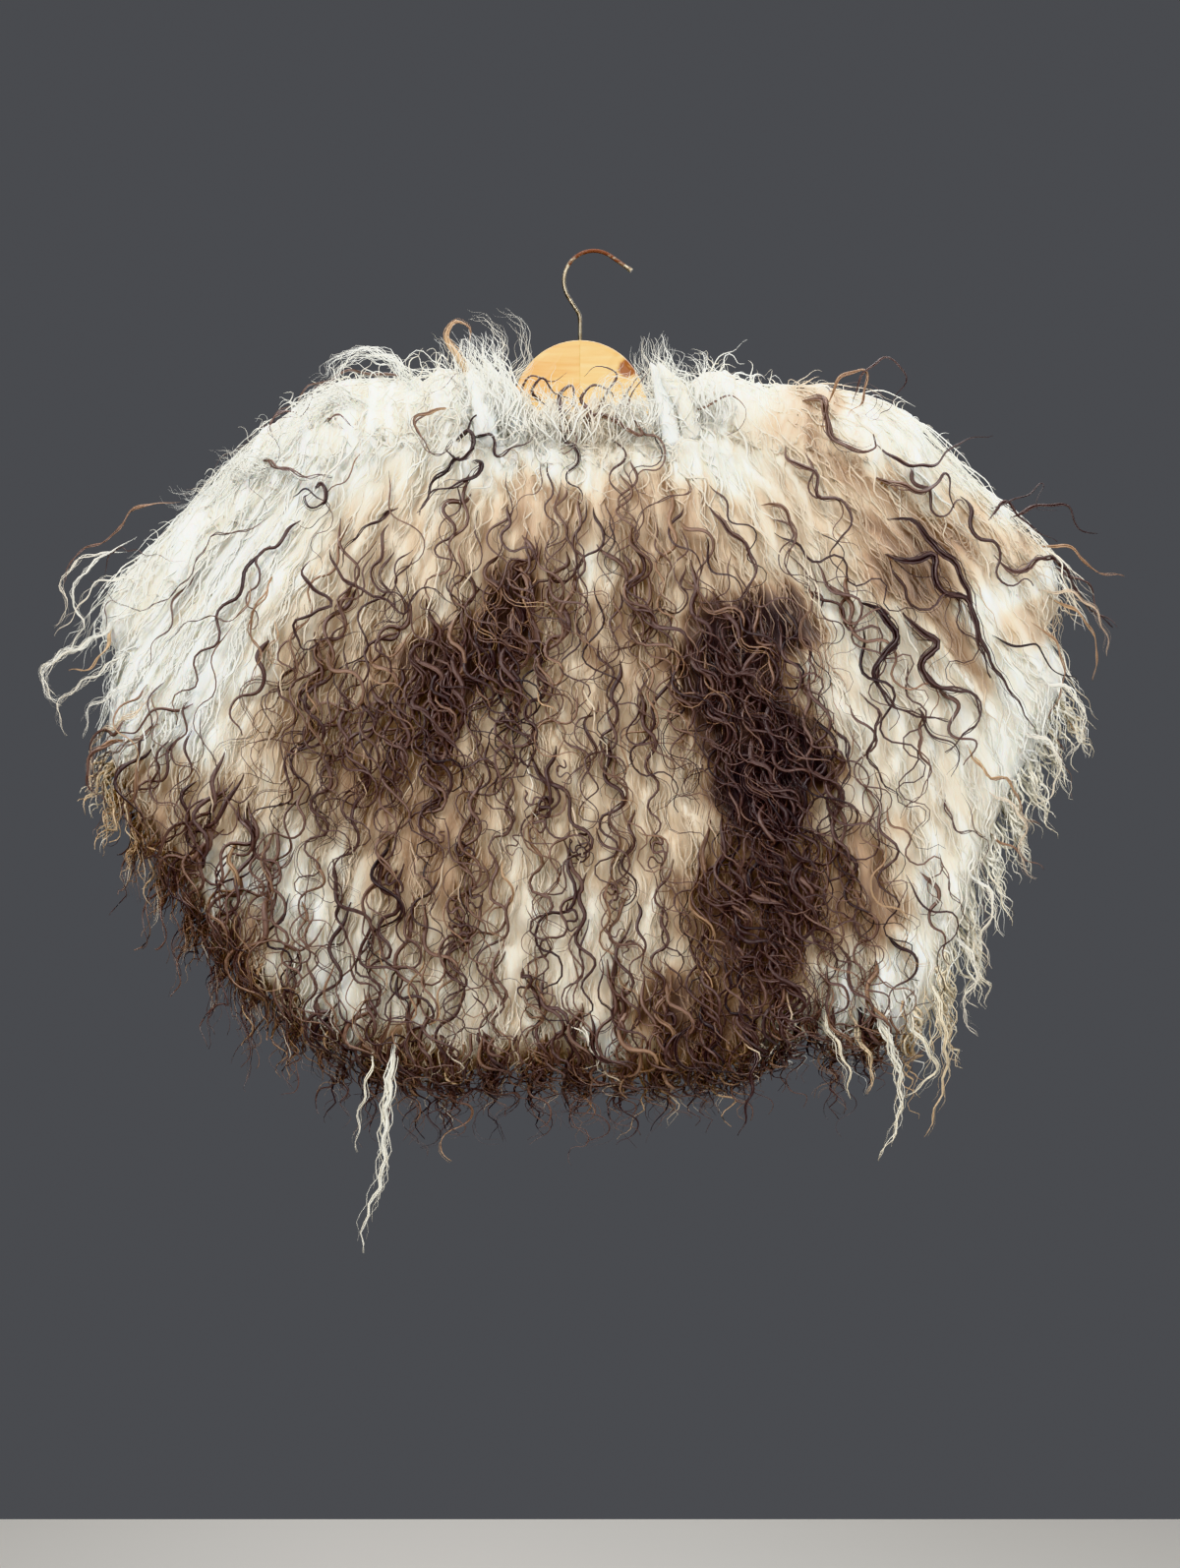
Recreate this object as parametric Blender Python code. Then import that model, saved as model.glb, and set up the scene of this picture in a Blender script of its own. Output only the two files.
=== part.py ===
"""A long-woolled sheepskin hung by its shoulders over a wooden coat hanger with a wire hook.

The skin is one piece: it hangs down in front of the hanger, folds over both arms and ends
behind them in two short flaps. Its edge dips between them, in front of the hanger's round head.
Metres, with X to the right, Y away from the viewer and Z up. The origin is the underside of the
hook's crook, the point by which everything hangs.
"""

import math

import bmesh
import bpy
import numpy as np

# The wire hook. Its shank stands on the hanger's middle line.
WIRE_RADIUS = 0.0015
SHANK_X = -0.008
CROOK_RADIUS = 0.024
CROOK_MIDDLE_X = 0.003
CROOK_START_DEG = 213
CROOK_END_DEG = 55
TIP_LENGTH = 0.020
TIP_SHARES = (0.50, 0.84, 0.88, 1.00)
TIP_BEAD = 1.25
SHANK_BEND_RADIUS = 0.012
SHANK_DEPTH = 0.034

# The wooden hanger: two halves glued at the middle, a round head and two sloping arms.
WOOD_THICKNESS = 0.014
WOOD_EDGE_ROUNDING = 0.005
WOOD_REACH = 0.215
WOOD_BOW = 0.014
GLUE_LINE = 0.0003
HEAD_RADIUS = 0.0535
HEAD_TOP_Z = -0.070
ARM_ROOT = 0.060
ARM_ROOT_Z = -0.137
ARM_DROP = 0.041
ARM_HEIGHT_ROOT = 0.046
ARM_HEIGHT_TIP = 0.026
MIDDLE_UNDERSIDE_Z = -0.176
HEAD_BLEND = 0.006
HEAD_ARC_END_DEG = 18
FLARE_LENGTH = 0.012
ARM_TIP_LENGTH = 0.013
ARM_TIP_ARC_DEG = 67
ARM_CURVE = 0.28
BORE_RADIUS = 0.0019
BORE_BELOW_SHANK = 0.0015

# The skin and its wool, modelled as one lumpy slab.
SKIN_CLEARANCE = 0.0045
FOLD_RADIUS = WOOD_THICKNESS / 2 + SKIN_CLEARANCE
WOOL_FRONT = 0.060
WOOL_BACK = 0.026
RIM_THICKNESS = 0.011
RIM_ROUNDING = 0.050
LUMP_HEIGHT = 0.012
LUMP_PITCH = 0.058
LUMP_WAVE_LENGTH = 0.125
CLUMP_LENGTH = 0.170
WOOL_FULL_AT = 0.120
WING_DROP_LEFT = 0.134
WING_DROP_RIGHT = 0.118
WING_REACH = 0.368
WING_BACKWARD = 0.022
WING_CURVE = 1.25
SLACK_FROM_Z = -0.24
SLACK_TO_Z = -0.55
HEM_WAVE = 0.007

COLUMNS = 57
CLOSE_COLUMNS_AT = 0.077
CLOSE_COLUMNS_WIDTH = 0.018
CLOSE_COLUMNS_MORE = 2.6
FLAP_ROWS = 5
FOLD_ROWS = 8
FRONT_ROWS = 18

# How far the skin's upper edge lies from the fold line: below it in front of the hanger's head,
# and behind the arms as the two flaps. Columns: distance from the middle, length behind.
FLAP_FROM_MIDDLE = (0.000, 0.058, 0.066, 0.092, 0.112, 0.146, 0.215, 0.275, 0.330, 0.380)
FLAP_LENGTH = (-0.022, -0.022, -0.016, 0.020, 0.070, 0.142, 0.148, 0.098, 0.034, 0.012)

# How high the wool stands over the fold, from the left wing to the right.
# Columns: x from the middle, height.
FOLD_WOOL = (
    (-0.370, 0.036),
    (-0.320, 0.044),
    (-0.270, 0.045),
    (-0.215, 0.053),
    (-0.176, 0.062),
    (-0.145, 0.058),
    (-0.112, 0.046),
    (-0.085, 0.062),
    (-0.060, 0.046),
    (0.060, 0.046),
    (0.088, 0.056),
    (0.128, 0.046),
    (0.168, 0.058),
    (0.216, 0.062),
    (0.260, 0.052),
    (0.310, 0.050),
    (0.370, 0.044),
)

# The lower rim of the dense wool, from the left wing round to the right one: x, z.
RIM = (
    (-0.384, -0.392),
    (-0.356, -0.450),
    (-0.322, -0.506),
    (-0.282, -0.560),
    (-0.240, -0.604),
    (-0.190, -0.636),
    (-0.120, -0.652),
    (-0.030, -0.650),
    (0.064, -0.658),
    (0.120, -0.646),
    (0.165, -0.622),
    (0.210, -0.630),
    (0.254, -0.620),
    (0.284, -0.566),
    (0.306, -0.500),
    (0.330, -0.444),
    (0.356, -0.392),
    (0.380, -0.336),
)

# The locks at the rim. Each grows from a narrow strip that lies along the slab's edge.
STRIP_GAP = 0.0005
STRIP_WIDTH = 0.008
NECK_STRIP_REACH = 0.0645
LOCK_INSET = 0.14
LOCK_RINGS = 5
LOCK_TURN = 0.6
LOCK_WAVE = 0.005
LOCK_WAVE_LENGTH = 0.046
LOCK_WIDTH = 0.011
LOCK_THICKNESS = 0.008
LOCK_TIP_HALF = 0.0008

# Locks that hang well past their neighbours: x at the root, length.
LONG_LOCKS = (
    (-0.150, 0.158),
    (-0.178, 0.076),
    (0.236, 0.106),
    (0.262, 0.084),
    (0.196, 0.060),
)

# How long the other locks along the hem are: x, length.
HEM_LOCKS = (
    (-0.39, 0.038),
    (-0.30, 0.036),
    (-0.20, 0.034),
    (0.00, 0.034),
    (0.14, 0.038),
    (0.20, 0.048),
    (0.27, 0.048),
    (0.31, 0.036),
    (0.39, 0.034),
)
BACK_LOCK_LENGTH = 0.040
BACK_LOCKS_FROM = 0.13
BACK_LOCKS_TO = 0.31

# The locks before the hanger's head, and the tufts that stand beside it.
# Columns: x, half width, height above the others.
NECK_LOCK_LENGTH = 0.018
NECK_TUFTS = ((-0.070, 0.018, 0.046), (0.052, 0.016, 0.036))
HEM_STRIP_SHARES = (0.21, 0.50, 0.80)
HEM_SPACING = 0.016
WING_SPACING = 0.013
NECK_SPACING = 0.014
BACK_SPACING = 0.020

# The colours that the wood, the wire and the wool show.
COLOURS = {
    "wood": ((0.78, 0.45, 0.17, 1.0), 0.45, 0.0),
    "wire": ((0.50, 0.43, 0.33, 1.0), 0.35, 1.0),
    "wool": ((0.72, 0.62, 0.50, 1.0), 0.85, 0.0),
    "dark_wool": ((0.12, 0.07, 0.06, 1.0), 0.80, 0.0),
}


def clear_scene():
    for thing in list(bpy.data.objects):
        bpy.data.objects.remove(thing)


def material(name):
    found = bpy.data.materials.get(name)
    if found:
        return found
    colour, roughness, metallic = COLOURS[name]
    made = bpy.data.materials.new(name)
    made.use_nodes = True
    shader = made.node_tree.nodes["Principled BSDF"]
    shader.inputs["Base Color"].default_value = colour
    shader.inputs["Roughness"].default_value = roughness
    shader.inputs["Metallic"].default_value = metallic
    return made


def mesh_object(name, points, faces, finish):
    """A named object from points and faces, with its faces turned outwards."""
    mesh = bpy.data.meshes.new(name)
    mesh.from_pydata([tuple(p) for p in points], [], faces)
    work = bmesh.new()
    work.from_mesh(mesh)
    bmesh.ops.recalc_face_normals(work, faces=work.faces)
    work.to_mesh(mesh)
    work.free()
    mesh.materials.append(material(finish))
    mesh.shade_smooth()
    mesh.set_sharp_from_angle(angle=math.radians(50))
    made = bpy.data.objects.new(name, mesh)
    bpy.context.scene.collection.objects.link(made)
    return made


def smooth_step(x, low, high):
    t = np.clip((x - low) / (high - low), 0, 1)
    return t * t * (3 - 2 * t)


def arc(middle_x, middle_z, radius, start_deg, end_deg, steps):
    turn = np.radians(np.linspace(start_deg, end_deg, steps))
    return [(middle_x + radius * math.cos(a), middle_z + radius * math.sin(a)) for a in turn]


# The hook.


def hook_line():
    """The wire's centre line, from inside the wood up the shank and round the crook to the tip."""
    middle_z = WIRE_RADIUS - CROOK_RADIUS
    start = math.radians(CROOK_START_DEG)
    low_x = CROOK_MIDDLE_X + CROOK_RADIUS * math.cos(start)
    low_z = middle_z + CROOK_RADIUS * math.sin(start)
    # The straight below the crook meets the shank's line at a corner, which is then rounded.
    way_x, way_z = -math.sin(start), math.cos(start)
    to_corner = (SHANK_X - low_x) / way_x
    corner_z = low_z + to_corner * way_z
    turn = math.atan2(way_x, -way_z)
    cut = SHANK_BEND_RADIUS * math.tan(turn / 2)
    bend = arc(
        SHANK_X - SHANK_BEND_RADIUS,
        corner_z - cut,
        SHANK_BEND_RADIUS,
        0,
        math.degrees(turn),
        5,
    )
    end = math.radians(CROOK_END_DEG)
    tip_x = CROOK_MIDDLE_X + CROOK_RADIUS * math.cos(end)
    tip_z = middle_z + CROOK_RADIUS * math.sin(end)
    crook = arc(CROOK_MIDDLE_X, middle_z, CROOK_RADIUS, CROOK_START_DEG, CROOK_END_DEG, 26)
    tip = [
        (tip_x + d * math.sin(end), tip_z - d * math.cos(end))
        for d in (share * TIP_LENGTH for share in TIP_SHARES)
    ]
    shank = [(SHANK_X, HEAD_TOP_Z - SHANK_DEPTH), (SHANK_X, HEAD_TOP_Z)]
    return shank + bend + crook + tip


def make_hook():
    line = hook_line()
    curve = bpy.data.curves.new("hook", "CURVE")
    curve.dimensions = "3D"
    curve.bevel_depth = WIRE_RADIUS
    curve.bevel_resolution = 3
    curve.use_fill_caps = True
    spline = curve.splines.new("POLY")
    spline.points.add(len(line) - 1)
    for point, (x, z) in zip(spline.points, line):
        point.co = (x, 0.0, z, 1.0)
    for point in spline.points[-2:]:
        point.radius = TIP_BEAD
    curve.materials.append(material("wire"))
    made = bpy.data.objects.new("hook", curve)
    bpy.context.scene.collection.objects.link(made)
    return made


# The hanger.


def arm_top(distance):
    """Height of the arm's upper edge at a distance from the middle."""
    u = (distance - ARM_ROOT) / (WOOD_REACH - ARM_ROOT)
    return ARM_ROOT_Z - ARM_DROP * u * (1 - ARM_CURVE + ARM_CURVE * np.abs(u))


def wood_top(distance):
    """The hanger's upper outline: the round head running into the arm in a hollow curve."""
    side = 0.96 * HEAD_RADIUS
    round_part = np.sqrt(HEAD_RADIUS**2 - np.minimum(distance, side) ** 2)
    steep = side / math.sqrt(HEAD_RADIUS**2 - side**2)
    head = HEAD_TOP_Z - HEAD_RADIUS + round_part - steep * np.maximum(distance - side, 0)
    arm = arm_top(distance)
    gap = np.clip((head - arm) / HEAD_BLEND, -30, 30)
    return arm + HEAD_BLEND * np.log1p(np.exp(gap))


def wood_bottom(distance):
    u = np.clip((distance - ARM_ROOT) / (WOOD_REACH - ARM_ROOT), 0, 1)
    arm = arm_top(distance) - ARM_HEIGHT_ROOT + (ARM_HEIGHT_ROOT - ARM_HEIGHT_TIP) * u
    return arm + (MIDDLE_UNDERSIDE_Z - arm) * (1 - smooth_step(distance, 0.0, 0.10))


def wood_bow(distance):
    """How far the arms sweep towards the viewer."""
    return -WOOD_BOW * np.minimum(distance / WOOD_REACH, 1.0) ** 2


def make_hanger_half(name, side):
    """One half, cut from a board: its outline is extruded, bowed, rounded and bored."""
    head_angles = np.radians(np.linspace(90, HEAD_ARC_END_DEG, 13))
    on_head = HEAD_RADIUS * np.cos(head_angles)
    on_head[0] = GLUE_LINE / 2
    flare = np.linspace(on_head[-1] + FLARE_LENGTH / 4, ARM_ROOT + FLARE_LENGTH, 7)
    end_x = WOOD_REACH - ARM_TIP_LENGTH
    along = np.linspace(ARM_ROOT + 0.022, end_x, 9)
    distances = np.concatenate([on_head, flare, along])
    upper = [(d, float(wood_top(d))) for d in distances]
    end_top, end_bottom = float(arm_top(end_x)), float(wood_bottom(end_x))
    half_height = (end_top - end_bottom) / 2
    tip = [
        (
            end_x + ARM_TIP_LENGTH * math.cos(a),
            (end_top + end_bottom) / 2 + half_height * math.sin(a),
        )
        for a in np.radians(np.linspace(ARM_TIP_ARC_DEG, -ARM_TIP_ARC_DEG, 7))
    ]
    lower = [(d, float(wood_bottom(d))) for d in np.linspace(end_x, GLUE_LINE / 2, 14)]
    outline = upper + tip + lower
    half = WOOD_THICKNESS / 2
    points, count = [], len(outline)
    for y in (-half, half):
        for d, z in outline:
            points.append((SHANK_X + side * d, y + float(wood_bow(d)), z))
    faces = [list(range(count)), list(range(2 * count - 1, count - 1, -1))]
    faces += [[i, (i + 1) % count, (i + 1) % count + count, i + count] for i in range(count)]
    made = mesh_object(name, points, faces, "wood")
    round_the_edges(made)
    bore = hidden_cylinder(name + "_bore", BORE_RADIUS)
    cut = made.modifiers.new("bore", "BOOLEAN")
    cut.operation = "DIFFERENCE"
    cut.solver = "EXACT"
    cut.object = bore
    return made


def round_the_edges(made):
    """Rounds the front and back outlines, but leaves the glued face square."""
    work = bmesh.new()
    work.from_mesh(made.data)
    flat = [f for f in work.faces if len(f.verts) > 4]
    edges = {
        e for f in flat for e in f.edges if max(abs(v.co.x - SHANK_X) for v in e.verts) > GLUE_LINE
    }
    bmesh.ops.bevel(
        work,
        geom=list(edges),
        offset=WOOD_EDGE_ROUNDING,
        segments=2,
        profile=0.5,
        affect="EDGES",
        clamp_overlap=True,
    )
    # Pull whatever the rounding moved past the middle back on to the glued face.
    side = 1 if sum(v.co.x for v in work.verts) / len(work.verts) > SHANK_X else -1
    for v in work.verts:
        if side * (v.co.x - SHANK_X) < GLUE_LINE / 2:
            v.co.x = SHANK_X + side * GLUE_LINE / 2
    bmesh.ops.recalc_face_normals(work, faces=work.faces)
    work.to_mesh(made.data)
    work.free()


def hidden_cylinder(name, radius):
    """The cutter for the hook's hole, sunk from the top of the head."""
    mesh = bpy.data.meshes.new(name)
    work = bmesh.new()
    bmesh.ops.create_cone(
        work,
        cap_ends=True,
        segments=16,
        radius1=radius,
        radius2=radius,
        depth=2 * (SHANK_DEPTH + BORE_BELOW_SHANK),
    )
    work.to_mesh(mesh)
    work.free()
    made = bpy.data.objects.new(name, mesh)
    bpy.context.scene.collection.objects.link(made)
    made.location = (SHANK_X, 0.0, HEAD_TOP_Z)
    made.hide_render = True
    made.display_type = "WIRE"
    return made


# The sheepskin.


def column_fractions():
    """Shares of the way from the left wing to the right, closer where the edge goes behind."""
    fine = np.linspace(0, 1, 400)
    far = np.abs((2 * fine - 1) * WING_REACH)
    weight = 1 + CLOSE_COLUMNS_MORE * np.exp(
        -(((far - CLOSE_COLUMNS_AT) / CLOSE_COLUMNS_WIDTH) ** 2)
    )
    total = np.concatenate([[0], np.cumsum((weight[1:] + weight[:-1]) / 2)])
    return np.interp(np.linspace(0, total[-1], COLUMNS), total, fine)


def along(points, shares):
    """Points at given shares of a line that is given by its corners, on a smooth curve."""
    points = np.array(points, float)
    steps = np.linalg.norm(np.diff(points, axis=0), axis=1)
    at = np.concatenate([[0], np.cumsum(steps)])
    slopes = np.gradient(points, at, axis=0)
    wanted = at[-1] * shares
    k = np.clip(np.searchsorted(at, wanted) - 1, 0, len(at) - 2)
    h = (at[k + 1] - at[k])[:, None]
    t = ((wanted - at[k])[:, None]) / h
    return (
        (2 * t**3 - 3 * t**2 + 1) * points[k]
        + (t**3 - 2 * t**2 + t) * h * slopes[k]
        + (3 * t**2 - 2 * t**3) * points[k + 1]
        + (t**3 - t**2) * h * slopes[k + 1]
    )


def fold_line():
    """Middle of the fold over the arms and wings, left to right: x and z."""
    distance = np.linspace(-WING_REACH, WING_REACH, 121)
    far = np.abs(distance)
    on_arm = np.where(far < ARM_ROOT, ARM_ROOT_Z, arm_top(np.clip(far, ARM_ROOT, WOOD_REACH)))
    past = np.maximum(far - WOOD_REACH, 0)
    span = WING_REACH - WOOD_REACH
    slope = ARM_DROP * (1 + ARM_CURVE) / (WOOD_REACH - ARM_ROOT)
    whole = np.where(distance < 0, WING_DROP_LEFT, WING_DROP_RIGHT)
    drop = slope * past + (whole - slope * span) * (past / span) ** WING_CURVE
    return np.stack([SHANK_X + distance, on_arm - drop - WOOD_THICKNESS / 2], axis=1)


def skin_depth(x, z):
    """Y of the skin's middle plane: it follows the hanger's bow, then hangs in slack waves."""
    far = np.abs(x - SHANK_X)
    wing = WING_BACKWARD * smooth_step(far, WOOD_REACH, 0.40)
    below = smooth_step(-z, -SLACK_FROM_Z, -SLACK_TO_Z)
    waves = HEM_WAVE * np.sin(21 * x + 0.8) + 0.5 * HEM_WAVE * np.sin(47 * x + 3 * z)
    return wood_bow(far) * (1 - 0.6 * below) + wing + below * waves


def row_places(start, end):
    """Distances from the top of the fold for one column's rows. Behind the hanger is negative."""
    quarter = FOLD_RADIUS * math.pi / 2
    behind = max(-quarter, start + 0.004)
    before = max(quarter, behind + 0.007)
    return np.concatenate(
        [
            np.linspace(start, behind, FLAP_ROWS, endpoint=False),
            np.linspace(behind, before, FOLD_ROWS, endpoint=False),
            before + (end - before) * np.linspace(0, 1, FRONT_ROWS) ** 0.92,
        ]
    )


def lumps(x, z, side):
    """Ridges of clumped locks that run down the wool in slow waves, 0 to 1."""
    wave = 0.30 * np.sin(2 * np.pi * (z / LUMP_WAVE_LENGTH + 1.7 * x + 0.2 * side))
    ridge = 0.5 + 0.5 * np.cos(2 * np.pi * (x / LUMP_PITCH * (1 + 0.45 * z) + wave))
    clumps = 0.5 + 0.5 * np.sin(2 * np.pi * (z / CLUMP_LENGTH + 3.1 * x) + 1.3 * np.cos(17 * x))
    return 0.68 * ridge**0.8 + 0.32 * clumps


def slab_points():
    """The skin's inner face and the wool's outer face, each as columns by rows of points."""
    shares = column_fractions()
    fold = along(fold_line(), shares)
    hem = along(RIM, shares)
    tangent = np.gradient(fold, shares, axis=0)
    tangent /= np.linalg.norm(tangent, axis=1)[:, None]
    up = np.stack([-tangent[:, 1], tangent[:, 0]], axis=1)
    width = np.linalg.norm(np.diff(fold, axis=0), axis=1).sum()
    rows = FLAP_ROWS + FOLD_ROWS + FRONT_ROWS
    inner = np.zeros((COLUMNS, rows, 3))
    outer = np.zeros((COLUMNS, rows, 3))
    quarter = FOLD_RADIUS * math.pi / 2
    for i in range(COLUMNS):
        from_middle = fold[i, 0] - SHANK_X
        start = -np.interp(abs(from_middle), FLAP_FROM_MIDDLE, FLAP_LENGTH)
        fall = hem[i] - fold[i]
        length = np.linalg.norm(fall)
        fall /= length
        places = row_places(start, quarter + length)
        to_side = min(shares[i], 1 - shares[i]) * width
        fold_wool = np.interp(from_middle, *zip(*FOLD_WOOL))
        for j, place in enumerate(places):
            angle = np.clip(place / FOLD_RADIUS, -math.pi / 2, math.pi / 2)
            rise, ahead = math.cos(angle), -math.sin(angle)
            front_run = max(place - quarter, 0)
            back_run = max(-place - quarter, 0)
            x = fold[i, 0] + up[i, 0] * FOLD_RADIUS * rise + fall[0] * front_run
            z = fold[i, 1] + up[i, 1] * FOLD_RADIUS * rise + fall[1] * front_run - back_run
            y = skin_depth(x, z) + FOLD_RADIUS * ahead
            inner[i, j] = (x, y, z)
            out = np.array([up[i, 0] * rise, ahead, up[i, 1] * rise])
            deep = WOOL_BACK + (fold_wool - WOOL_BACK) * smooth_step(place, -0.028, 0.004)
            deep += (WOOL_FRONT - deep) * smooth_step(place, 0.02, WOOL_FULL_AT)
            deep += LUMP_HEIGHT * (lumps(x, z, ahead) - 0.45) * (0.5 if place < -quarter else 1)
            to_rim = min(places[-1] - place, place - start, to_side)
            near = 1 - min(to_rim / RIM_ROUNDING, 1)
            deep = RIM_THICKNESS + (deep - RIM_THICKNESS) * math.sqrt(1 - near**2)
            outer[i, j] = inner[i, j] + out * deep
    return inner, outer


def grid_faces(columns, rows, start):
    return [
        [
            start + i * rows + j,
            start + (i + 1) * rows + j,
            start + (i + 1) * rows + j + 1,
            start + i * rows + j + 1,
        ]
        for i in range(columns - 1)
        for j in range(rows - 1)
    ]


def make_sheepskin(inner, outer):
    """One closed slab: the skin's face, the wool's face and the wall round their edges."""
    columns, rows = inner.shape[:2]
    count = columns * rows
    points = np.concatenate([inner.reshape(-1, 3), outer.reshape(-1, 3)])
    faces = grid_faces(columns, rows, 0)
    faces += [face[::-1] for face in grid_faces(columns, rows, count)]
    border = [i * rows for i in range(columns)]
    border += [(columns - 1) * rows + j for j in range(1, rows)]
    border += [i * rows + rows - 1 for i in range(columns - 2, -1, -1)]
    border += [j for j in range(rows - 2, 0, -1)]
    for a, b in zip(border, border[1:] + border[:1]):
        faces.append([a, b, b + count, a + count])
    return mesh_object("sheepskin", points, faces, "wool")


# The locks round the edge.


def unit(v):
    return v / max(np.linalg.norm(v), 1e-9)


def lock_rings(corners, outward, fall, length, order):
    """The rings of one tapering, waving lock of four sides, grown from a wall's four corners."""
    middle = corners.mean(axis=0)
    base = middle + (corners - middle) * (1 - 2 * LOCK_INSET)
    across = unit((corners[1] + corners[2] - corners[0] - corners[3]) / 2)
    rings = [base]
    place, way = middle.copy(), unit(outward)
    step = length / LOCK_RINGS
    for k in range(1, LOCK_RINGS + 1):
        t = k / LOCK_RINGS
        turned = LOCK_TURN * t
        way = unit(way * (1 - turned) + fall * turned)
        place = place + way * step
        sideways = unit(across - way * np.dot(across, way))
        depth = unit(np.cross(way, sideways))
        turns = length * t / LOCK_WAVE_LENGTH + 0.1 * order
        swing = LOCK_WAVE * math.sin(2 * math.pi * turns) * t
        centre = place + sideways * swing
        half_width = LOCK_WIDTH / 2 * (1 - t) ** 0.8 + LOCK_TIP_HALF
        half_depth = LOCK_THICKNESS / 2 * (1 - t) ** 0.8 + LOCK_TIP_HALF
        if k == 1:
            base_half = np.linalg.norm(base[1] - base[0]) / 2
            half_width = min(half_width, base_half * 1.7)
        sign = 1 if np.dot(np.cross(across, corners[3] - corners[0]), outward) > 0 else -1
        rings.append(
            np.array(
                [
                    centre - sideways * half_width - sign * depth * half_depth,
                    centre + sideways * half_width - sign * depth * half_depth,
                    centre + sideways * half_width + sign * depth * half_depth,
                    centre - sideways * half_width + sign * depth * half_depth,
                ]
            )
        )
    return rings


def make_lock_strip(name, finish, low, high, spacing, lengths_of, fall_of):
    """A narrow strip just outside the slab's edge, with locks growing from its outer wall.

    low and high are the edge's points on the skin's face and on the wool's face.
    """
    count = len(low)
    tangent = np.gradient((low + high) / 2, axis=0)
    normal = np.array([unit(high[k] - low[k]) for k in range(count)])
    outward = np.array([unit(np.cross(tangent[k], normal[k])) for k in range(count)])
    inside, outside = STRIP_GAP, STRIP_GAP + STRIP_WIDTH
    points, faces = [], []
    for k in range(count):
        trim = 0.04 * (high[k] - low[k])
        for edge, shift in ((low[k] + trim, inside), (high[k] - trim, inside)):
            points.append(edge + outward[k] * shift)
        for edge, shift in ((high[k] - trim, outside), (low[k] + trim, outside)):
            points.append(edge + outward[k] * shift)
    faces.append([0, 1, 2, 3])
    faces.append([4 * (count - 1) + c for c in (3, 2, 1, 0)])
    corners_of, ways = {}, {}
    run, next_lock = 0.0, 0.35 * spacing
    for k in range(count - 1):
        a, b = 4 * k, 4 * (k + 1)
        faces.append([a, b, b + 1, a + 1])
        faces.append([a + 1, b + 1, b + 2, a + 2])
        faces.append([a + 3, b + 3, b, a])
        wide = np.linalg.norm(points[b + 2] - points[a + 2])
        run += wide
        if run < next_lock:
            faces.append([a + 2, b + 2, b + 3, a + 3])
            continue
        next_lock = run + spacing - wide / 2
        corners_of[k] = [a + 3, b + 3, b + 2, a + 2]
        ways[k] = unit(outward[k] + outward[k + 1])
    middles = {k: np.mean([points[c] for c in corners_of[k]], axis=0) for k in corners_of}
    lengths = lengths_of(middles)
    for order, (k, corners) in enumerate(corners_of.items()):
        fall = fall_of(middles[k], ways[k])
        rings = lock_rings(np.array([points[c] for c in corners]), ways[k], fall, lengths[k], order)
        before = corners
        for ring in rings:
            now = list(range(len(points), len(points) + 4))
            points.extend(ring)
            for c in range(4):
                faces.append([before[c], before[(c + 1) % 4], now[(c + 1) % 4], now[c]])
            before = now
        faces.append(before)
    return mesh_object(name, points, faces, finish)


def uneven(order):
    """A share near 1 that differs from one lock to the next."""
    return 1 + 0.2 * math.sin(2.4 * order + 0.7)


def hem_lengths(middles):
    """Short along the bottom and longer at the right corner, with a few long locks."""
    lengths = {}
    for order, (k, middle) in enumerate(middles.items()):
        lengths[k] = float(np.interp(middle[0], *zip(*HEM_LOCKS))) * uneven(order)
    for root_x, length in LONG_LOCKS:
        nearest = min(middles, key=lambda k: abs(middles[k][0] - root_x))
        if abs(middles[nearest][0] - root_x) < 0.7 * HEM_SPACING:
            lengths[nearest] = length
    return lengths


def hem_fall(middle, outward):
    """Locks turn from the rim's outward direction towards the ground."""
    return unit(np.array([0.25 * outward[0], 0.0, -1.0]))


def neck_lengths(middles):
    """Two tufts stand beside the hanger's head, and short locks lie before it."""
    lengths = {}
    for order, (k, middle) in enumerate(middles.items()):
        length = NECK_LOCK_LENGTH
        for tuft_x, half_width, height in NECK_TUFTS:
            length += height * math.exp(-(((middle[0] - tuft_x) / half_width) ** 2))
        lengths[k] = length * uneven(order)
    return lengths


def neck_fall(middle, outward):
    side = np.sign(middle[0] - SHANK_X)
    return unit(np.array([0.42 * side, -0.22, 1.0]))


def back_lengths(middles):
    return {k: BACK_LOCK_LENGTH * uneven(order) for order, k in enumerate(middles)}


def back_fall(middle, outward):
    side = np.sign(middle[0] - SHANK_X)
    return unit(np.array([0.12 * side, 0.0, -1.0]))


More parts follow.
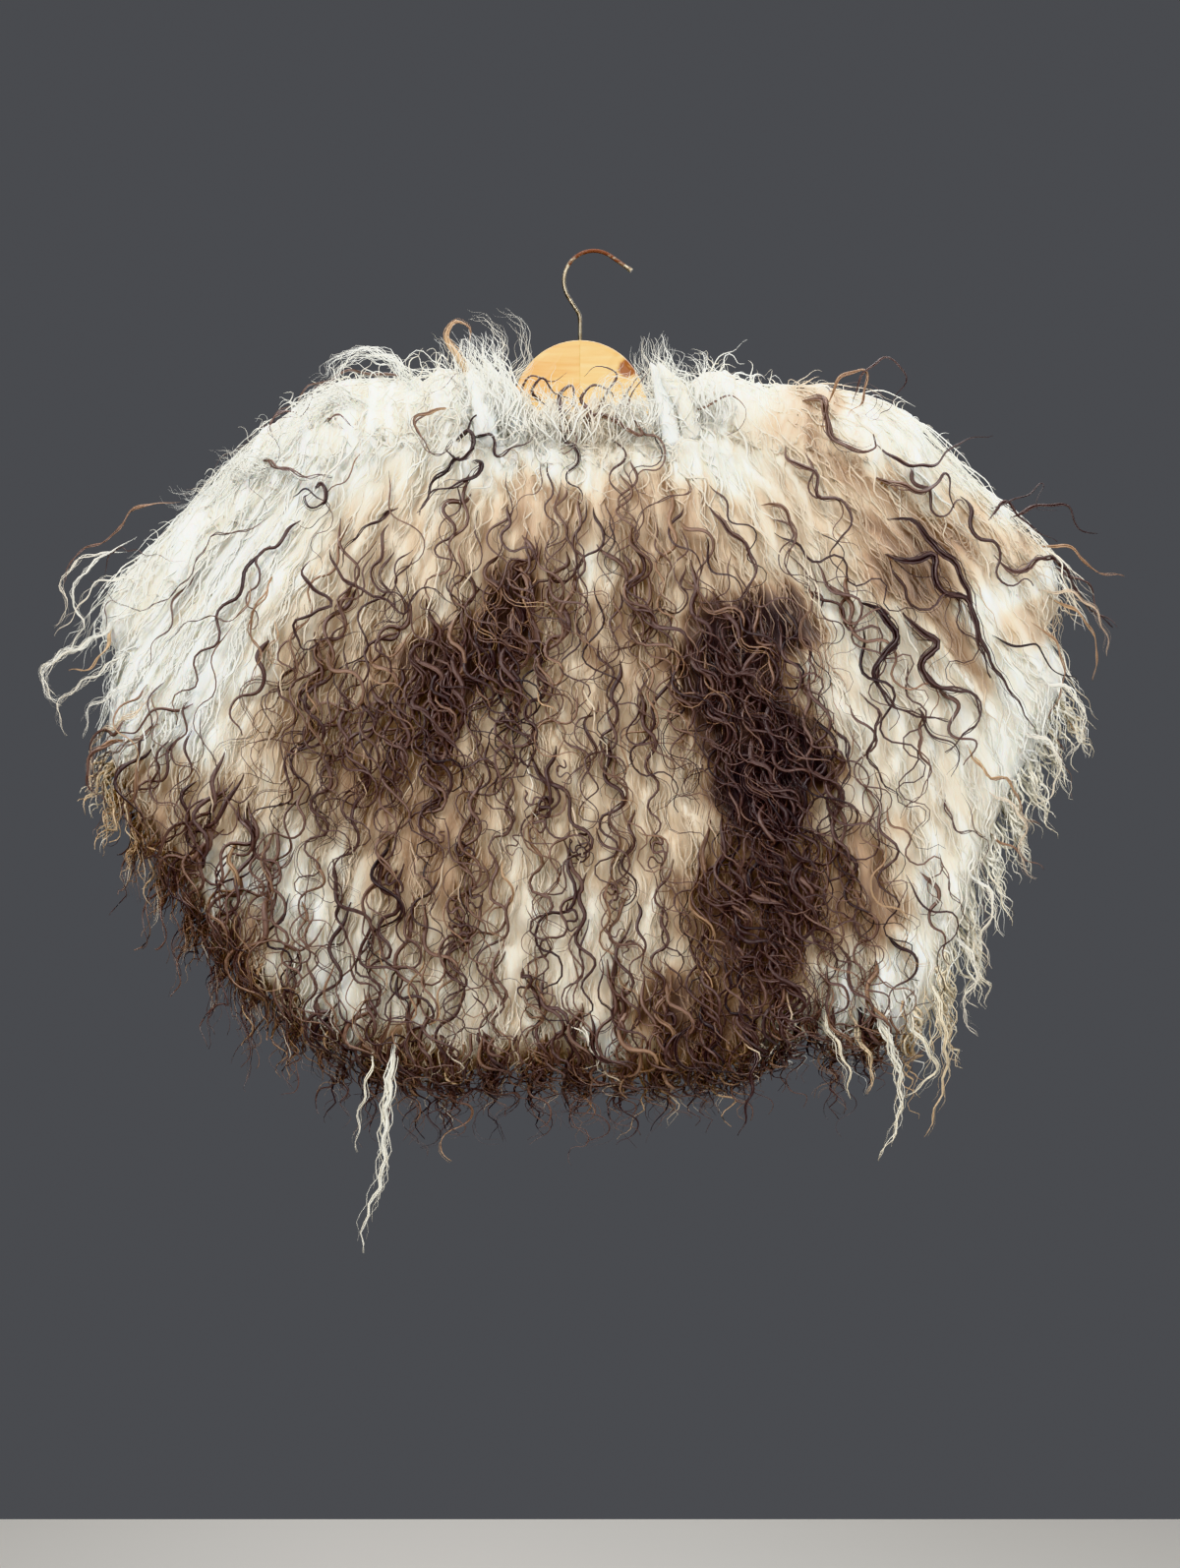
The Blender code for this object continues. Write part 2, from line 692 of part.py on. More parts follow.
def make_locks(inner, outer):
    """Strips of locks all round the slab's edge: hem, wings, flaps behind, and neck."""
    columns, rows = inner.shape[:2]
    hem_low, hem_high = inner[:, -1], outer[:, -1]
    cuts = [1] + [round(share * columns) for share in HEM_STRIP_SHARES] + [columns - 1]
    hem_strips = (
        ("locks_hem_left", "dark_wool"),
        ("locks_bottom_left", "dark_wool"),
        ("locks_bottom_right", "dark_wool"),
        ("locks_hem_right", "wool"),
    )
    for (name, finish), first, last in zip(hem_strips, cuts, cuts[1:]):
        part = slice(first, last)
        make_lock_strip(
            name, finish, hem_low[part], hem_high[part], HEM_SPACING, hem_lengths, hem_fall
        )
    wing_rows = slice(FLAP_ROWS + FOLD_ROWS - 2, rows - 1)
    make_lock_strip(
        "locks_wing_left",
        "wool",
        inner[0, wing_rows],
        outer[0, wing_rows],
        WING_SPACING,
        hem_lengths,
        hem_fall,
    )
    make_lock_strip(
        "locks_wing_right",
        "wool",
        inner[-1, wing_rows][::-1],
        outer[-1, wing_rows][::-1],
        WING_SPACING,
        hem_lengths,
        hem_fall,
    )
    across = inner[:, 0, 0] - SHANK_X
    neck = np.flatnonzero(np.abs(across) < NECK_STRIP_REACH)
    left = np.flatnonzero((across < -BACK_LOCKS_FROM) & (across > -BACK_LOCKS_TO))
    right = np.flatnonzero((across > BACK_LOCKS_FROM) & (across < BACK_LOCKS_TO))
    edges = (
        ("locks_neck", neck, NECK_SPACING, neck_lengths, neck_fall),
        ("locks_back_left", left, BACK_SPACING, back_lengths, back_fall),
        ("locks_back_right", right, BACK_SPACING, back_lengths, back_fall),
    )
    for name, picked, spacing, lengths_of, fall_of in edges:
        make_lock_strip(
            name,
            "wool",
            inner[picked, 0][::-1],
            outer[picked, 0][::-1],
            spacing,
            lengths_of,
            fall_of,
        )


def main():
    clear_scene()
    make_hook()
    make_hanger_half("hanger_left", -1)
    make_hanger_half("hanger_right", 1)
    inner, outer = slab_points()
    make_sheepskin(inner, outer)
    make_locks(inner, outer)


main()
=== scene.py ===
"""A long-woolled, spotted sheepskin that hangs over a wooden coat hanger with a wire hook.

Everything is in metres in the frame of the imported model: X to the right, Y away from the viewer,
Z up, and the origin under the hook's crook.
"""

import math

import bpy
import numpy as np
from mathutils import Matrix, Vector
from mathutils.bvhtree import BVHTree


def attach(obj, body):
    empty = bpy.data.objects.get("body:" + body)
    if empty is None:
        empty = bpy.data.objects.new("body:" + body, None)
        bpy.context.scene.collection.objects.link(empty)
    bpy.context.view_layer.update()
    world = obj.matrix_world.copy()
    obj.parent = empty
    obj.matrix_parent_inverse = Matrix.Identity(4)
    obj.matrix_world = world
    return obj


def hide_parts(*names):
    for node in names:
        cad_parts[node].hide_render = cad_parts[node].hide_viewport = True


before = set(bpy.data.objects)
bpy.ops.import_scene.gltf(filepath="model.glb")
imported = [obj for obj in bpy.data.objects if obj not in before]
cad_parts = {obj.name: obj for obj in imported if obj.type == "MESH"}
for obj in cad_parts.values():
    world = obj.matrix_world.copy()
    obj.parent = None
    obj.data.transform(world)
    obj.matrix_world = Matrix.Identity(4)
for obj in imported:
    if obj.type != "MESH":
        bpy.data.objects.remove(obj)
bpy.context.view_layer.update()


# The viewpoint, the lights and the floor. The skin hangs at head height and is seen level,
# from a step away, a little from above. The light is broad and soft, as on an overcast day.

EYE_DISTANCE = 1.10
EYE_PITCH_DEG = 2.2
FRAME_MIDDLE_Z = -0.426
FRAME_HEIGHT_PX = 1594
METRES_PER_PX = 0.0008
SENSOR_MM = 36.0
EYE = np.array(
    (0.0, -EYE_DISTANCE, FRAME_MIDDLE_Z + EYE_DISTANCE * math.tan(math.radians(EYE_PITCH_DEG)))
)
FLOOR_Z = -1.75
FLOOR_HALF = 1.2
BACKGROUND = "5C5D60"
FLOOR_COLOUR = "DAD7D1"


def linear(code):
    """The linear colour of an sRGB hex value."""
    parts = [int(code[i : i + 2], 16) / 255 for i in (0, 2, 4)]
    return [c / 12.92 if c <= 0.04045 else ((c + 0.055) / 1.055) ** 2.4 for c in parts] + [1.0]


def new_material(name):
    """A material with its node tree and its shader."""
    made = bpy.data.materials.new(name)
    made.use_nodes = True
    return made, made.node_tree, made.node_tree.nodes["Principled BSDF"]


def node(tree, kind, links=(), **settings):
    """Adds a node, sets its properties and sockets, and links its inputs from other nodes.

    A link comes from an output, or from a node's first output where only the node is given.
    """
    made = tree.nodes.new("ShaderNode" + kind)
    for key, value in settings.items():
        if key in made.inputs:
            made.inputs[key].default_value = value
        elif key.replace("_", " ") in made.inputs:
            made.inputs[key.replace("_", " ")].default_value = value
        else:
            setattr(made, key, value)
    for source, socket in links:
        output = source.outputs[0] if isinstance(source, bpy.types.Node) else source
        tree.links.new(output, made.inputs[socket])
    return made


def ramp_stops(ramp, stops):
    """Gives a colour ramp its stops: place and hex colour."""
    elements = ramp.color_ramp.elements
    while len(elements) < len(stops):
        elements.new(0.5)
    for element, (place, code) in zip(elements, stops):
        element.position = place
        element.color = linear(code)


def soft_light(name, size, power, place, aim):
    """A broad rectangular lamp at a place, turned to the point it lights."""
    lamp = bpy.data.lights.new(name, "AREA")
    lamp.shape = "RECTANGLE"
    lamp.size, lamp.size_y = size
    lamp.energy = power
    made = bpy.data.objects.new(name, lamp)
    made.location = place
    made.rotation_euler = (Vector(aim) - Vector(place)).to_track_quat("-Z", "Y").to_euler()
    bpy.context.scene.collection.objects.link(made)


camera_data = bpy.data.cameras.new("camera")
camera_data.sensor_fit = "VERTICAL"
camera_data.sensor_height = SENSOR_MM
camera_data.lens = (
    SENSOR_MM
    * EYE_DISTANCE
    / math.cos(math.radians(EYE_PITCH_DEG))
    / (FRAME_HEIGHT_PX * METRES_PER_PX)
)
camera = bpy.data.objects.new("camera", camera_data)
camera.location = EYE
camera.rotation_euler = (math.radians(90 - EYE_PITCH_DEG), 0, 0)
bpy.context.scene.collection.objects.link(camera)
bpy.context.scene.camera = camera

soft_light("key_light", (1.6, 1.2), 59, (-0.9, -1.7, 0.9), (0.0, 0.0, -0.35))
soft_light("fill_light", (1.4, 1.6), 30, (1.3, -1.5, -0.1), (0.0, 0.0, -0.40))
soft_light("top_light", (1.2, 0.8), 20, (0.1, 0.3, 1.1), (0.0, 0.0, -0.30))
soft_light("back_light", (1.6, 1.6), 16, (0.3, 1.9, 0.3), (0.0, 0.0, -0.40))

world = bpy.data.worlds.new("grey_room")
world.use_nodes = True
world.node_tree.nodes["Background"].inputs["Color"].default_value = linear(BACKGROUND)
world.node_tree.nodes["Background"].inputs["Strength"].default_value = 1.0
bpy.context.scene.world = world
bpy.context.scene.view_settings.view_transform = "Khronos PBR Neutral"

floor_material, _, floor_shader = new_material("painted_floor")
floor_shader.inputs["Base Color"].default_value = linear(FLOOR_COLOUR)
floor_shader.inputs["Roughness"].default_value = 0.9
floor_mesh = bpy.data.meshes.new("floor")
floor_mesh.from_pydata(
    [(x * FLOOR_HALF, y * FLOOR_HALF, FLOOR_Z) for x, y in ((-1, -1), (1, -1), (1, 1), (-1, 1))],
    [],
    [(0, 1, 2, 3)],
)
floor_mesh.materials.append(floor_material)
floor = bpy.data.objects.new("floor", floor_mesh)
bpy.context.scene.collection.objects.link(floor)


# The hook: 3 mm steel wire, drawn, bent cold and thinly plated. Years of use have dulled the
# plating to a warm grey, and rust has come through where the crook carries the weight.

WIRE_GREY = "B3A994"
WIRE_DULL = "7C6B52"
RUST = "6A3B22"
RUST_ABOVE_Z = -0.030
RUST_TOP_Z = 0.002
WIRE_BLOTCH_MM = 4.0
WIRE_SPECK_MM = 2 / 3
WIRE_SPECK_DEPTH = 0.0002

wire_material, tree, shader = new_material("dulled_plated_steel")
place = node(tree, "TexCoord").outputs["Object"]
blotch = node(tree, "TexNoise", [(place, "Vector")], Scale=1000 / WIRE_BLOTCH_MM, Detail=5.0)
speck = node(tree, "TexNoise", [(place, "Vector")], Scale=1000 / WIRE_SPECK_MM, Detail=3.0)
dull = node(tree, "ValToRGB", [(blotch, "Fac")])
ramp_stops(dull, [(0.35, WIRE_GREY), (0.68, WIRE_DULL)])
height = node(tree, "SeparateXYZ", [(place, "Vector")])
rusting = node(
    tree, "MapRange", [(height.outputs["Z"], "Value")], From_Min=RUST_ABOVE_Z, From_Max=RUST_TOP_Z,
    To_Min=-0.35, To_Max=0.30,
)
rust_sum = node(tree, "Math", [(rusting, 0), (blotch, 1)], operation="ADD")
rust_mask = node(tree, "MapRange", [(rust_sum, "Value")], From_Min=0.52, From_Max=0.66)
colour = node(tree, "Mix", [(rust_mask, 0), (dull, "A")], data_type="RGBA")
colour.inputs["B"].default_value = linear(RUST)
metal = node(tree, "Math", [(rust_mask, 1)], operation="SUBTRACT")
metal.inputs[0].default_value = 1.0
rough = node(
    tree, "MapRange", [(rust_sum, "Value")], From_Min=0.2, From_Max=0.8, To_Min=0.30, To_Max=0.75
)
pits = node(tree, "Bump", [(speck, "Height")], Strength=0.35, Distance=WIRE_SPECK_DEPTH)
tree.links.new(colour.outputs["Result"], shader.inputs["Base Color"])
tree.links.new(metal.outputs["Value"], shader.inputs["Metallic"])
tree.links.new(rough.outputs["Result"], shader.inputs["Roughness"])
tree.links.new(pits.outputs["Normal"], shader.inputs["Normal"])

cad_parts["hook"].data.materials.clear()
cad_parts["hook"].data.materials.append(wire_material)


# The hanger: two halves of beech board, glued at the middle, sanded round and varnished. The
# varnish has yellowed, so the wood glows orange, with fine grain along each arm. The right
# half was cut beside a knot, which leaves a brown swirl on the round head.

SHANK_X = -0.008
BEECH_LIGHT = "F7D792"
BEECH_MID = "F0C97C"
BEECH_DARK = "D39F55"
KNOT_BROWN = "8A5226"
GRAIN_MM = 2.2
GRAIN_BENDS_PER_METRE = 38.0  # one in 26 mm
GRAIN_DEPTH = 0.0003
ARM_SLOPE_DEG = 17
KNOT_PLACE = (0.030, 0.0, -0.094)
KNOT_HEART = 0.003
KNOT_REACH = 0.020
KNOT_SWIRL_MM = 50 / 3
KNOT_RING_MM = 25 / 3


def beech(name, side, knot):
    """Varnished beech whose grain runs along an arm, with or without a knot's swirl."""
    made, tree, shader = new_material(name)
    place = node(tree, "TexCoord").outputs["Object"]
    turned = node(tree, "Mapping", [(place, "Vector")])
    turned.inputs["Rotation"].default_value = (0, math.radians(-side * ARM_SLOPE_DEG), 0)
    turned.inputs["Scale"].default_value = (0.10, 1.0, 1.0)
    wander = node(tree, "TexNoise", [(turned, "Vector")], Scale=GRAIN_BENDS_PER_METRE, Detail=3.0)
    bands = node(
        tree, "TexNoise", [(turned, "Vector")], Scale=1000 / GRAIN_MM / 2, Detail=4.0,
        Distortion=0.5,
    )
    mixed = node(tree, "Math", [(wander, 0), (bands, 1)], operation="ADD")
    tint = node(tree, "MapRange", [(mixed, "Value")], From_Min=0.75, From_Max=1.30)
    ramp = node(tree, "ValToRGB", [(tint, "Fac")])
    ramp_stops(ramp, [(0.0, BEECH_LIGHT), (0.45, BEECH_MID), (1.0, BEECH_DARK)])
    colour = ramp.outputs["Color"]
    if knot:
        away = node(tree, "VectorMath", [(place, 0)], operation="DISTANCE")
        away.inputs[1].default_value = KNOT_PLACE
        swirl_noise = node(
            tree, "TexNoise", [(place, "Vector")], Scale=1000 / KNOT_SWIRL_MM, Detail=3.0,
            Distortion=1.2,
        )
        near = node(
            tree, "MapRange", [(away.outputs["Value"], "Value")], From_Min=KNOT_HEART,
            From_Max=KNOT_REACH, To_Min=1.0, To_Max=0.0,
        )
        rings = node(
            tree, "Math", [(away.outputs["Value"], 0), (swirl_noise, 2)], operation="MULTIPLY_ADD"
        )
        rings.inputs[1].default_value = 1000 / KNOT_RING_MM
        wave = node(tree, "Math", [(rings, 0)], operation="PINGPONG")
        wave.inputs[1].default_value = 0.5
        knot_mask = node(
            tree, "Math", [(near, 0), (wave, 1)], operation="MULTIPLY", use_clamp=True
        )
        strong = node(tree, "MapRange", [(knot_mask, "Value")], From_Min=0.04, From_Max=0.26)
        both = node(tree, "Mix", [(strong, 0), (colour, "A")], data_type="RGBA")
        both.inputs["B"].default_value = linear(KNOT_BROWN)
        colour = both.outputs["Result"]
    pores = node(tree, "Bump", [(bands, "Height")], Strength=0.12, Distance=GRAIN_DEPTH)
    tree.links.new(colour, shader.inputs["Base Color"])
    tree.links.new(pores.outputs["Normal"], shader.inputs["Normal"])
    shader.inputs["Roughness"].default_value = 0.42
    shader.inputs["Coat Weight"].default_value = 0.35
    shader.inputs["Coat Roughness"].default_value = 0.22
    return made


for half_name, half_side, has_knot in (("left", -1, False), ("right", 1, True)):
    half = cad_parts["hanger_" + half_name]
    half.data.materials.clear()
    half.data.materials.append(beech("varnished_beech_" + half_name, half_side, has_knot))


# The hide: tanned sheepskin, 2 mm thick, with its flesh side out at the back, buffed to a pale
# suede. It hangs in front of the hanger, folds over both arms and ends behind them in two flaps.
# Its edge dips before the hanger's round head.

HIDE_THICKNESS = 0.002
WOOD_THICKNESS = 0.014
WOOD_REACH = 0.215
WOOD_BOW = 0.014
ARM_ROOT = 0.060
ARM_ROOT_Z = -0.137
ARM_DROP = 0.041
FOLD_RADIUS = WOOD_THICKNESS / 2 + 0.0045
WING_DROP_LEFT = 0.134
WING_DROP_RIGHT = 0.118
WING_REACH = 0.368
WING_BACKWARD = 0.022
WING_TIP = 0.40
SLACK_DEPTHS = (0.24, 0.55)
FLAP_LEAST = 0.004
FOLD_LEAST = 0.007
HEM_WAVE = 0.007
FOLD_POINTS = 121
SKIN_GAP = 0.0001

# Distance from the middle, and the length that hangs behind: the edge is before the hanger
# where that is negative.
FLAPS = (
    (0.000, -0.022), (0.058, -0.022), (0.066, -0.016), (0.092, 0.020), (0.112, 0.070),
    (0.146, 0.142), (0.215, 0.148), (0.275, 0.098), (0.330, 0.034), (0.380, 0.012),
)

# The lower edge, from the left wing round to the right one: x, z.
HEM = (
    (-0.384, -0.392), (-0.356, -0.450), (-0.322, -0.506), (-0.282, -0.560), (-0.240, -0.604),
    (-0.190, -0.636), (-0.120, -0.652), (-0.030, -0.650), (0.064, -0.658), (0.120, -0.646),
    (0.165, -0.622), (0.210, -0.630), (0.254, -0.620), (0.284, -0.566), (0.306, -0.500),
    (0.330, -0.444), (0.356, -0.392), (0.380, -0.336),
)


def smooth_step(x, low, high):
    """0 below low, 1 above high, and an even slope between them."""
    t = np.clip((x - low) / (high - low), 0, 1)
    return t * t * (3 - 2 * t)


def unit(v):
    """Arrows of length 1."""
    return v / np.maximum(np.linalg.norm(v, axis=-1, keepdims=True), 1e-9)


def along(points, shares):
    """Points at given shares of a line that is given by its corners, on a smooth curve."""
    points = np.array(points, float)
    steps = np.linalg.norm(np.diff(points, axis=0), axis=1)
    at = np.concatenate([[0], np.cumsum(steps)])
    slopes = np.gradient(points, at, axis=0)
    wanted = at[-1] * np.asarray(shares)
    k = np.clip(np.searchsorted(at, wanted) - 1, 0, len(at) - 2)
    h = (at[k + 1] - at[k])[:, None]
    t = (wanted - at[k])[:, None] / h
    return (
        (2 * t**3 - 3 * t**2 + 1) * points[k]
        + (t**3 - 2 * t**2 + t) * h * slopes[k]
        + (3 * t**2 - 2 * t**3) * points[k + 1]
        + (t**3 - t**2) * h * slopes[k + 1]
    )


def arm_top(distance):
    """Height of an arm's upper edge at a distance from the shank."""
    u = (distance - ARM_ROOT) / (WOOD_REACH - ARM_ROOT)
    return ARM_ROOT_Z - ARM_DROP * (0.72 * u + 0.28 * u * np.abs(u))


def fold_line():
    """Middle of the fold over the arms and wings, left to right: x and z."""
    distance = np.linspace(-WING_REACH, WING_REACH, FOLD_POINTS)
    far = np.abs(distance)
    on_arm = np.where(far < ARM_ROOT, ARM_ROOT_Z, arm_top(np.clip(far, ARM_ROOT, WOOD_REACH)))
    past = np.maximum(far - WOOD_REACH, 0)
    span = WING_REACH - WOOD_REACH
    slope = ARM_DROP * 1.28 / (WOOD_REACH - ARM_ROOT)
    whole = np.where(distance < 0, WING_DROP_LEFT, WING_DROP_RIGHT)
    drop = slope * past + (whole - slope * span) * (past / span) ** 1.25
    return np.stack([SHANK_X + distance, on_arm - drop - WOOD_THICKNESS / 2], axis=1)


def skin_depth(x, z):
    """Y of the hide's middle plane: the hanger's bow, then slack waves lower down."""
    far = np.abs(x - SHANK_X)
    bow = -WOOD_BOW * np.minimum(far / WOOD_REACH, 1.0) ** 2
    wing = WING_BACKWARD * smooth_step(far, WOOD_REACH, WING_TIP)
    below = smooth_step(-z, *SLACK_DEPTHS)
    waves = HEM_WAVE * np.sin(21 * x + 0.8) + 0.5 * HEM_WAVE * np.sin(47 * x + 3 * z)
    return bow * (1 - 0.6 * below) + wing + below * waves


def hide_grid(columns, flap_rows, fold_rows, front_rows):
    """Points of the flesh side, columns by rows, with the outward way and the place in the fold."""
    shares = np.linspace(0, 1, columns)
    fold, hem = along(fold_line(), shares), along(HEM, shares)
    tangent = unit(np.gradient(fold, shares, axis=0))
    up_x, up_z = -tangent[:, 1:2], tangent[:, 0:1]
    fall = hem - fold
    length = np.linalg.norm(fall, axis=1, keepdims=True)
    fall = fall / length
    from_middle = fold[:, 0:1] - SHANK_X
    start = -np.interp(np.abs(from_middle), *zip(*FLAPS))
    quarter = FOLD_RADIUS * math.pi / 2
    behind = np.maximum(-quarter, start + FLAP_LEAST)
    before = np.maximum(quarter, behind + FOLD_LEAST)
    end = quarter + length
    places = np.concatenate(
        [
            start + (behind - start) * np.linspace(0, 1, flap_rows, endpoint=False),
            behind + (before - behind) * np.linspace(0, 1, fold_rows, endpoint=False),
            before + (end - before) * np.linspace(0, 1, front_rows) ** 0.92,
        ],
        axis=1,
    )
    angle = np.clip(places / FOLD_RADIUS, -math.pi / 2, math.pi / 2)
    rise, ahead = np.cos(angle), -np.sin(angle)
    front_run = np.maximum(places - quarter, 0)
    back_run = np.maximum(-places - quarter, 0)
    x = fold[:, 0:1] + up_x * FOLD_RADIUS * rise + fall[:, 0:1] * front_run
    z = fold[:, 1:2] + up_z * FOLD_RADIUS * rise + fall[:, 1:2] * front_run - back_run
    y = skin_depth(x, z) + FOLD_RADIUS * ahead
    inner = np.stack([x, y, z], axis=-1)
    out = np.stack([up_x * rise, ahead, up_z * rise], axis=-1)
    return inner, out, places, from_middle, shares


def smooth_mesh(name, material, points, quads, caps=(), sides=4):
    """A smooth object from points, four-sided faces and, after them, caps with their sides."""
    mesh = bpy.data.meshes.new(name)
    mesh.vertices.add(points.size // 3)
    mesh.vertices.foreach_set("co", points.astype(np.float32).ravel())
    loops = np.concatenate([np.ravel(quads), np.ravel(caps)]).astype(np.int32)
    mesh.loops.add(len(loops))
    mesh.loops.foreach_set("vertex_index", loops)
    mesh.polygons.add(len(quads) + len(caps))
    quad_starts = np.arange(len(quads)) * 4
    cap_starts = len(quads) * 4 + np.arange(len(caps)) * sides
    starts = np.concatenate([quad_starts, cap_starts]).astype(np.int32)
    mesh.polygons.foreach_set("loop_start", starts)
    mesh.update(calc_edges=True)
    mesh.materials.append(material)
    mesh.shade_smooth()
    made = bpy.data.objects.new(name, mesh)
    bpy.context.scene.collection.objects.link(made)
    return made


def grid_quads(columns, rows, start=0):
    """The four-sided faces of a grid of points."""
    i, j = np.meshgrid(np.arange(columns - 1), np.arange(rows - 1), indexing="ij")
    a = start + (i * rows + j).ravel()
    return np.stack([a, a + rows, a + rows + 1, a + 1], axis=1)


def slab_faces(columns, rows):
    """Faces of a closed slab: its inner side, its outer side and the wall between them."""
    count = columns * rows
    near = grid_quads(columns, rows)
    far = grid_quads(columns, rows, count)[:, ::-1]
    border = [i * rows for i in range(columns)]
    border += [(columns - 1) * rows + j for j in range(1, rows)]
    border += [i * rows + rows - 1 for i in range(columns - 2, -1, -1)]
    border += list(range(rows - 2, 0, -1))
    a = np.array(border)
    b = np.roll(a, -1)
    wall = np.stack([a, a + count, b + count, b], axis=1)
    return np.concatenate([near, far, wall])


SUEDE_LIGHT = "D9C4A2"
SUEDE_DARK = "B79870"
SUEDE_NAP_MM = 1.2
SUEDE_PATCH_MM = 60.0
SUEDE_VEINS_PER_METRE = 22.0  # one in 45 mm
SUEDE_RELIEF = 0.002

# Buffed suede scatters light evenly, with no shine, and is darker where the skin was denser.
suede, tree, shader = new_material("buffed_suede")
place = node(tree, "TexCoord").outputs["Object"]
patches = node(
    tree, "TexNoise", [(place, "Vector")], Scale=1000 / SUEDE_PATCH_MM, Detail=6.0, Roughness=0.65
)
nap = node(tree, "TexNoise", [(place, "Vector")], Scale=1000 / SUEDE_NAP_MM, Detail=4.0)
veins = node(
    tree, "TexNoise", [(place, "Vector")], Scale=SUEDE_VEINS_PER_METRE, Detail=5.0, Distortion=1.6
)
ramp = node(tree, "ValToRGB", [(patches, "Fac")])
ramp_stops(ramp, [(0.30, SUEDE_DARK), (0.62, SUEDE_LIGHT)])
relief = node(tree, "Math", [(nap, 0), (veins, 2)], operation="MULTIPLY_ADD")
relief.inputs[1].default_value = 0.5
bump = node(tree, "Bump", [(relief, "Height")], Strength=0.5, Distance=SUEDE_RELIEF)
tree.links.new(ramp.outputs["Color"], shader.inputs["Base Color"])
tree.links.new(bump.outputs["Normal"], shader.inputs["Normal"])
shader.inputs["Roughness"].default_value = 0.92
shader.inputs["Sheen Weight"].default_value = 0.35

HIDE_COLUMNS, HIDE_ROWS = 90, (12, 10, 36)
inner, out, places, from_middle, shares = hide_grid(HIDE_COLUMNS, *HIDE_ROWS)
rows = sum(HIDE_ROWS)
hide_points = np.concatenate(
    [(inner + out * SKIN_GAP).reshape(-1, 3), (inner + out * HIDE_THICKNESS).reshape(-1, 3)]
)
hide = smooth_mesh("hide", suede, hide_points, slab_faces(HIDE_COLUMNS, rows))
across = np.linalg.norm(np.diff(inner, axis=0), axis=2)
down = np.linalg.norm(np.diff(inner, axis=1), axis=2)
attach(hide, "root")


# The fleece: the wool's dense lower part, matted on the hide. Its fibres run the way the wool
# lies, fanned out from the neck. It is white at the shoulders, cream to tan in the middle and
# dark brown in spots. The locks and curls lie over it.

WOOL_FRONT = 0.060
WOOL_BACK = 0.026
RIM_THICKNESS = 0.011
RIM_ROUNDING = 0.050
LOCK_LAYER = 0.006
CLUMP_HEIGHT = 0.006
CLUMP_WIDTH = 0.026
CLUMP_LENGTH = 0.085
BACK_WOOL_ENDS = (-0.028, 0.004)
FRONT_WOOL_STARTS = (0.02, 0.12)
NECK_SIDES = (0.040, 0.085)
NECK_RISE = 0.027
WOOL_GAP = 0.0003
LAY_LEVEL_Z = -0.38
LAY_STEPS = 80
LAY_BEND = 0.016
PLAIN_TONE = 0.02
DARK_TONES_FROM = 0.6
LAY_BENDS_PER_METRE = 42.0  # one in 24 mm
FIBRE_RELIEF = 0.002
GLOW_DEPTH = 0.010

# How high the wool stands over the fold: distance from the middle, height.
FOLD_WOOL = (
    (-0.370, 0.036), (-0.320, 0.038), (-0.270, 0.036), (-0.215, 0.046), (-0.176, 0.062),
    (-0.145, 0.058), (-0.112, 0.046), (-0.085, 0.062), (-0.060, 0.046), (0.060, 0.046),
    (0.088, 0.056), (0.128, 0.046), (0.168, 0.058), (0.216, 0.062), (0.260, 0.052), (0.310, 0.050),
    (0.370, 0.044),
)

# How strongly the wool fans out from the middle at each height: z, sideways share.
FAN = ((-0.66, 0.4), (-0.55, 0.7), (-0.40, 1.3), (-0.27, 2.1), (-0.20, 3.2), (-0.10, 4.6))

# The wool's tones, from white to nearly black.
WOOL_TONES = (
    (0.00, "F9FAF3"), (0.14, "F2EAD8"), (0.30, "E1CDB1"), (0.46, "BC9E82"), (0.62, "8C7465"),
    (0.78, "67564F"), (0.90, "4D4140"), (1.00, "332C2E"),
)

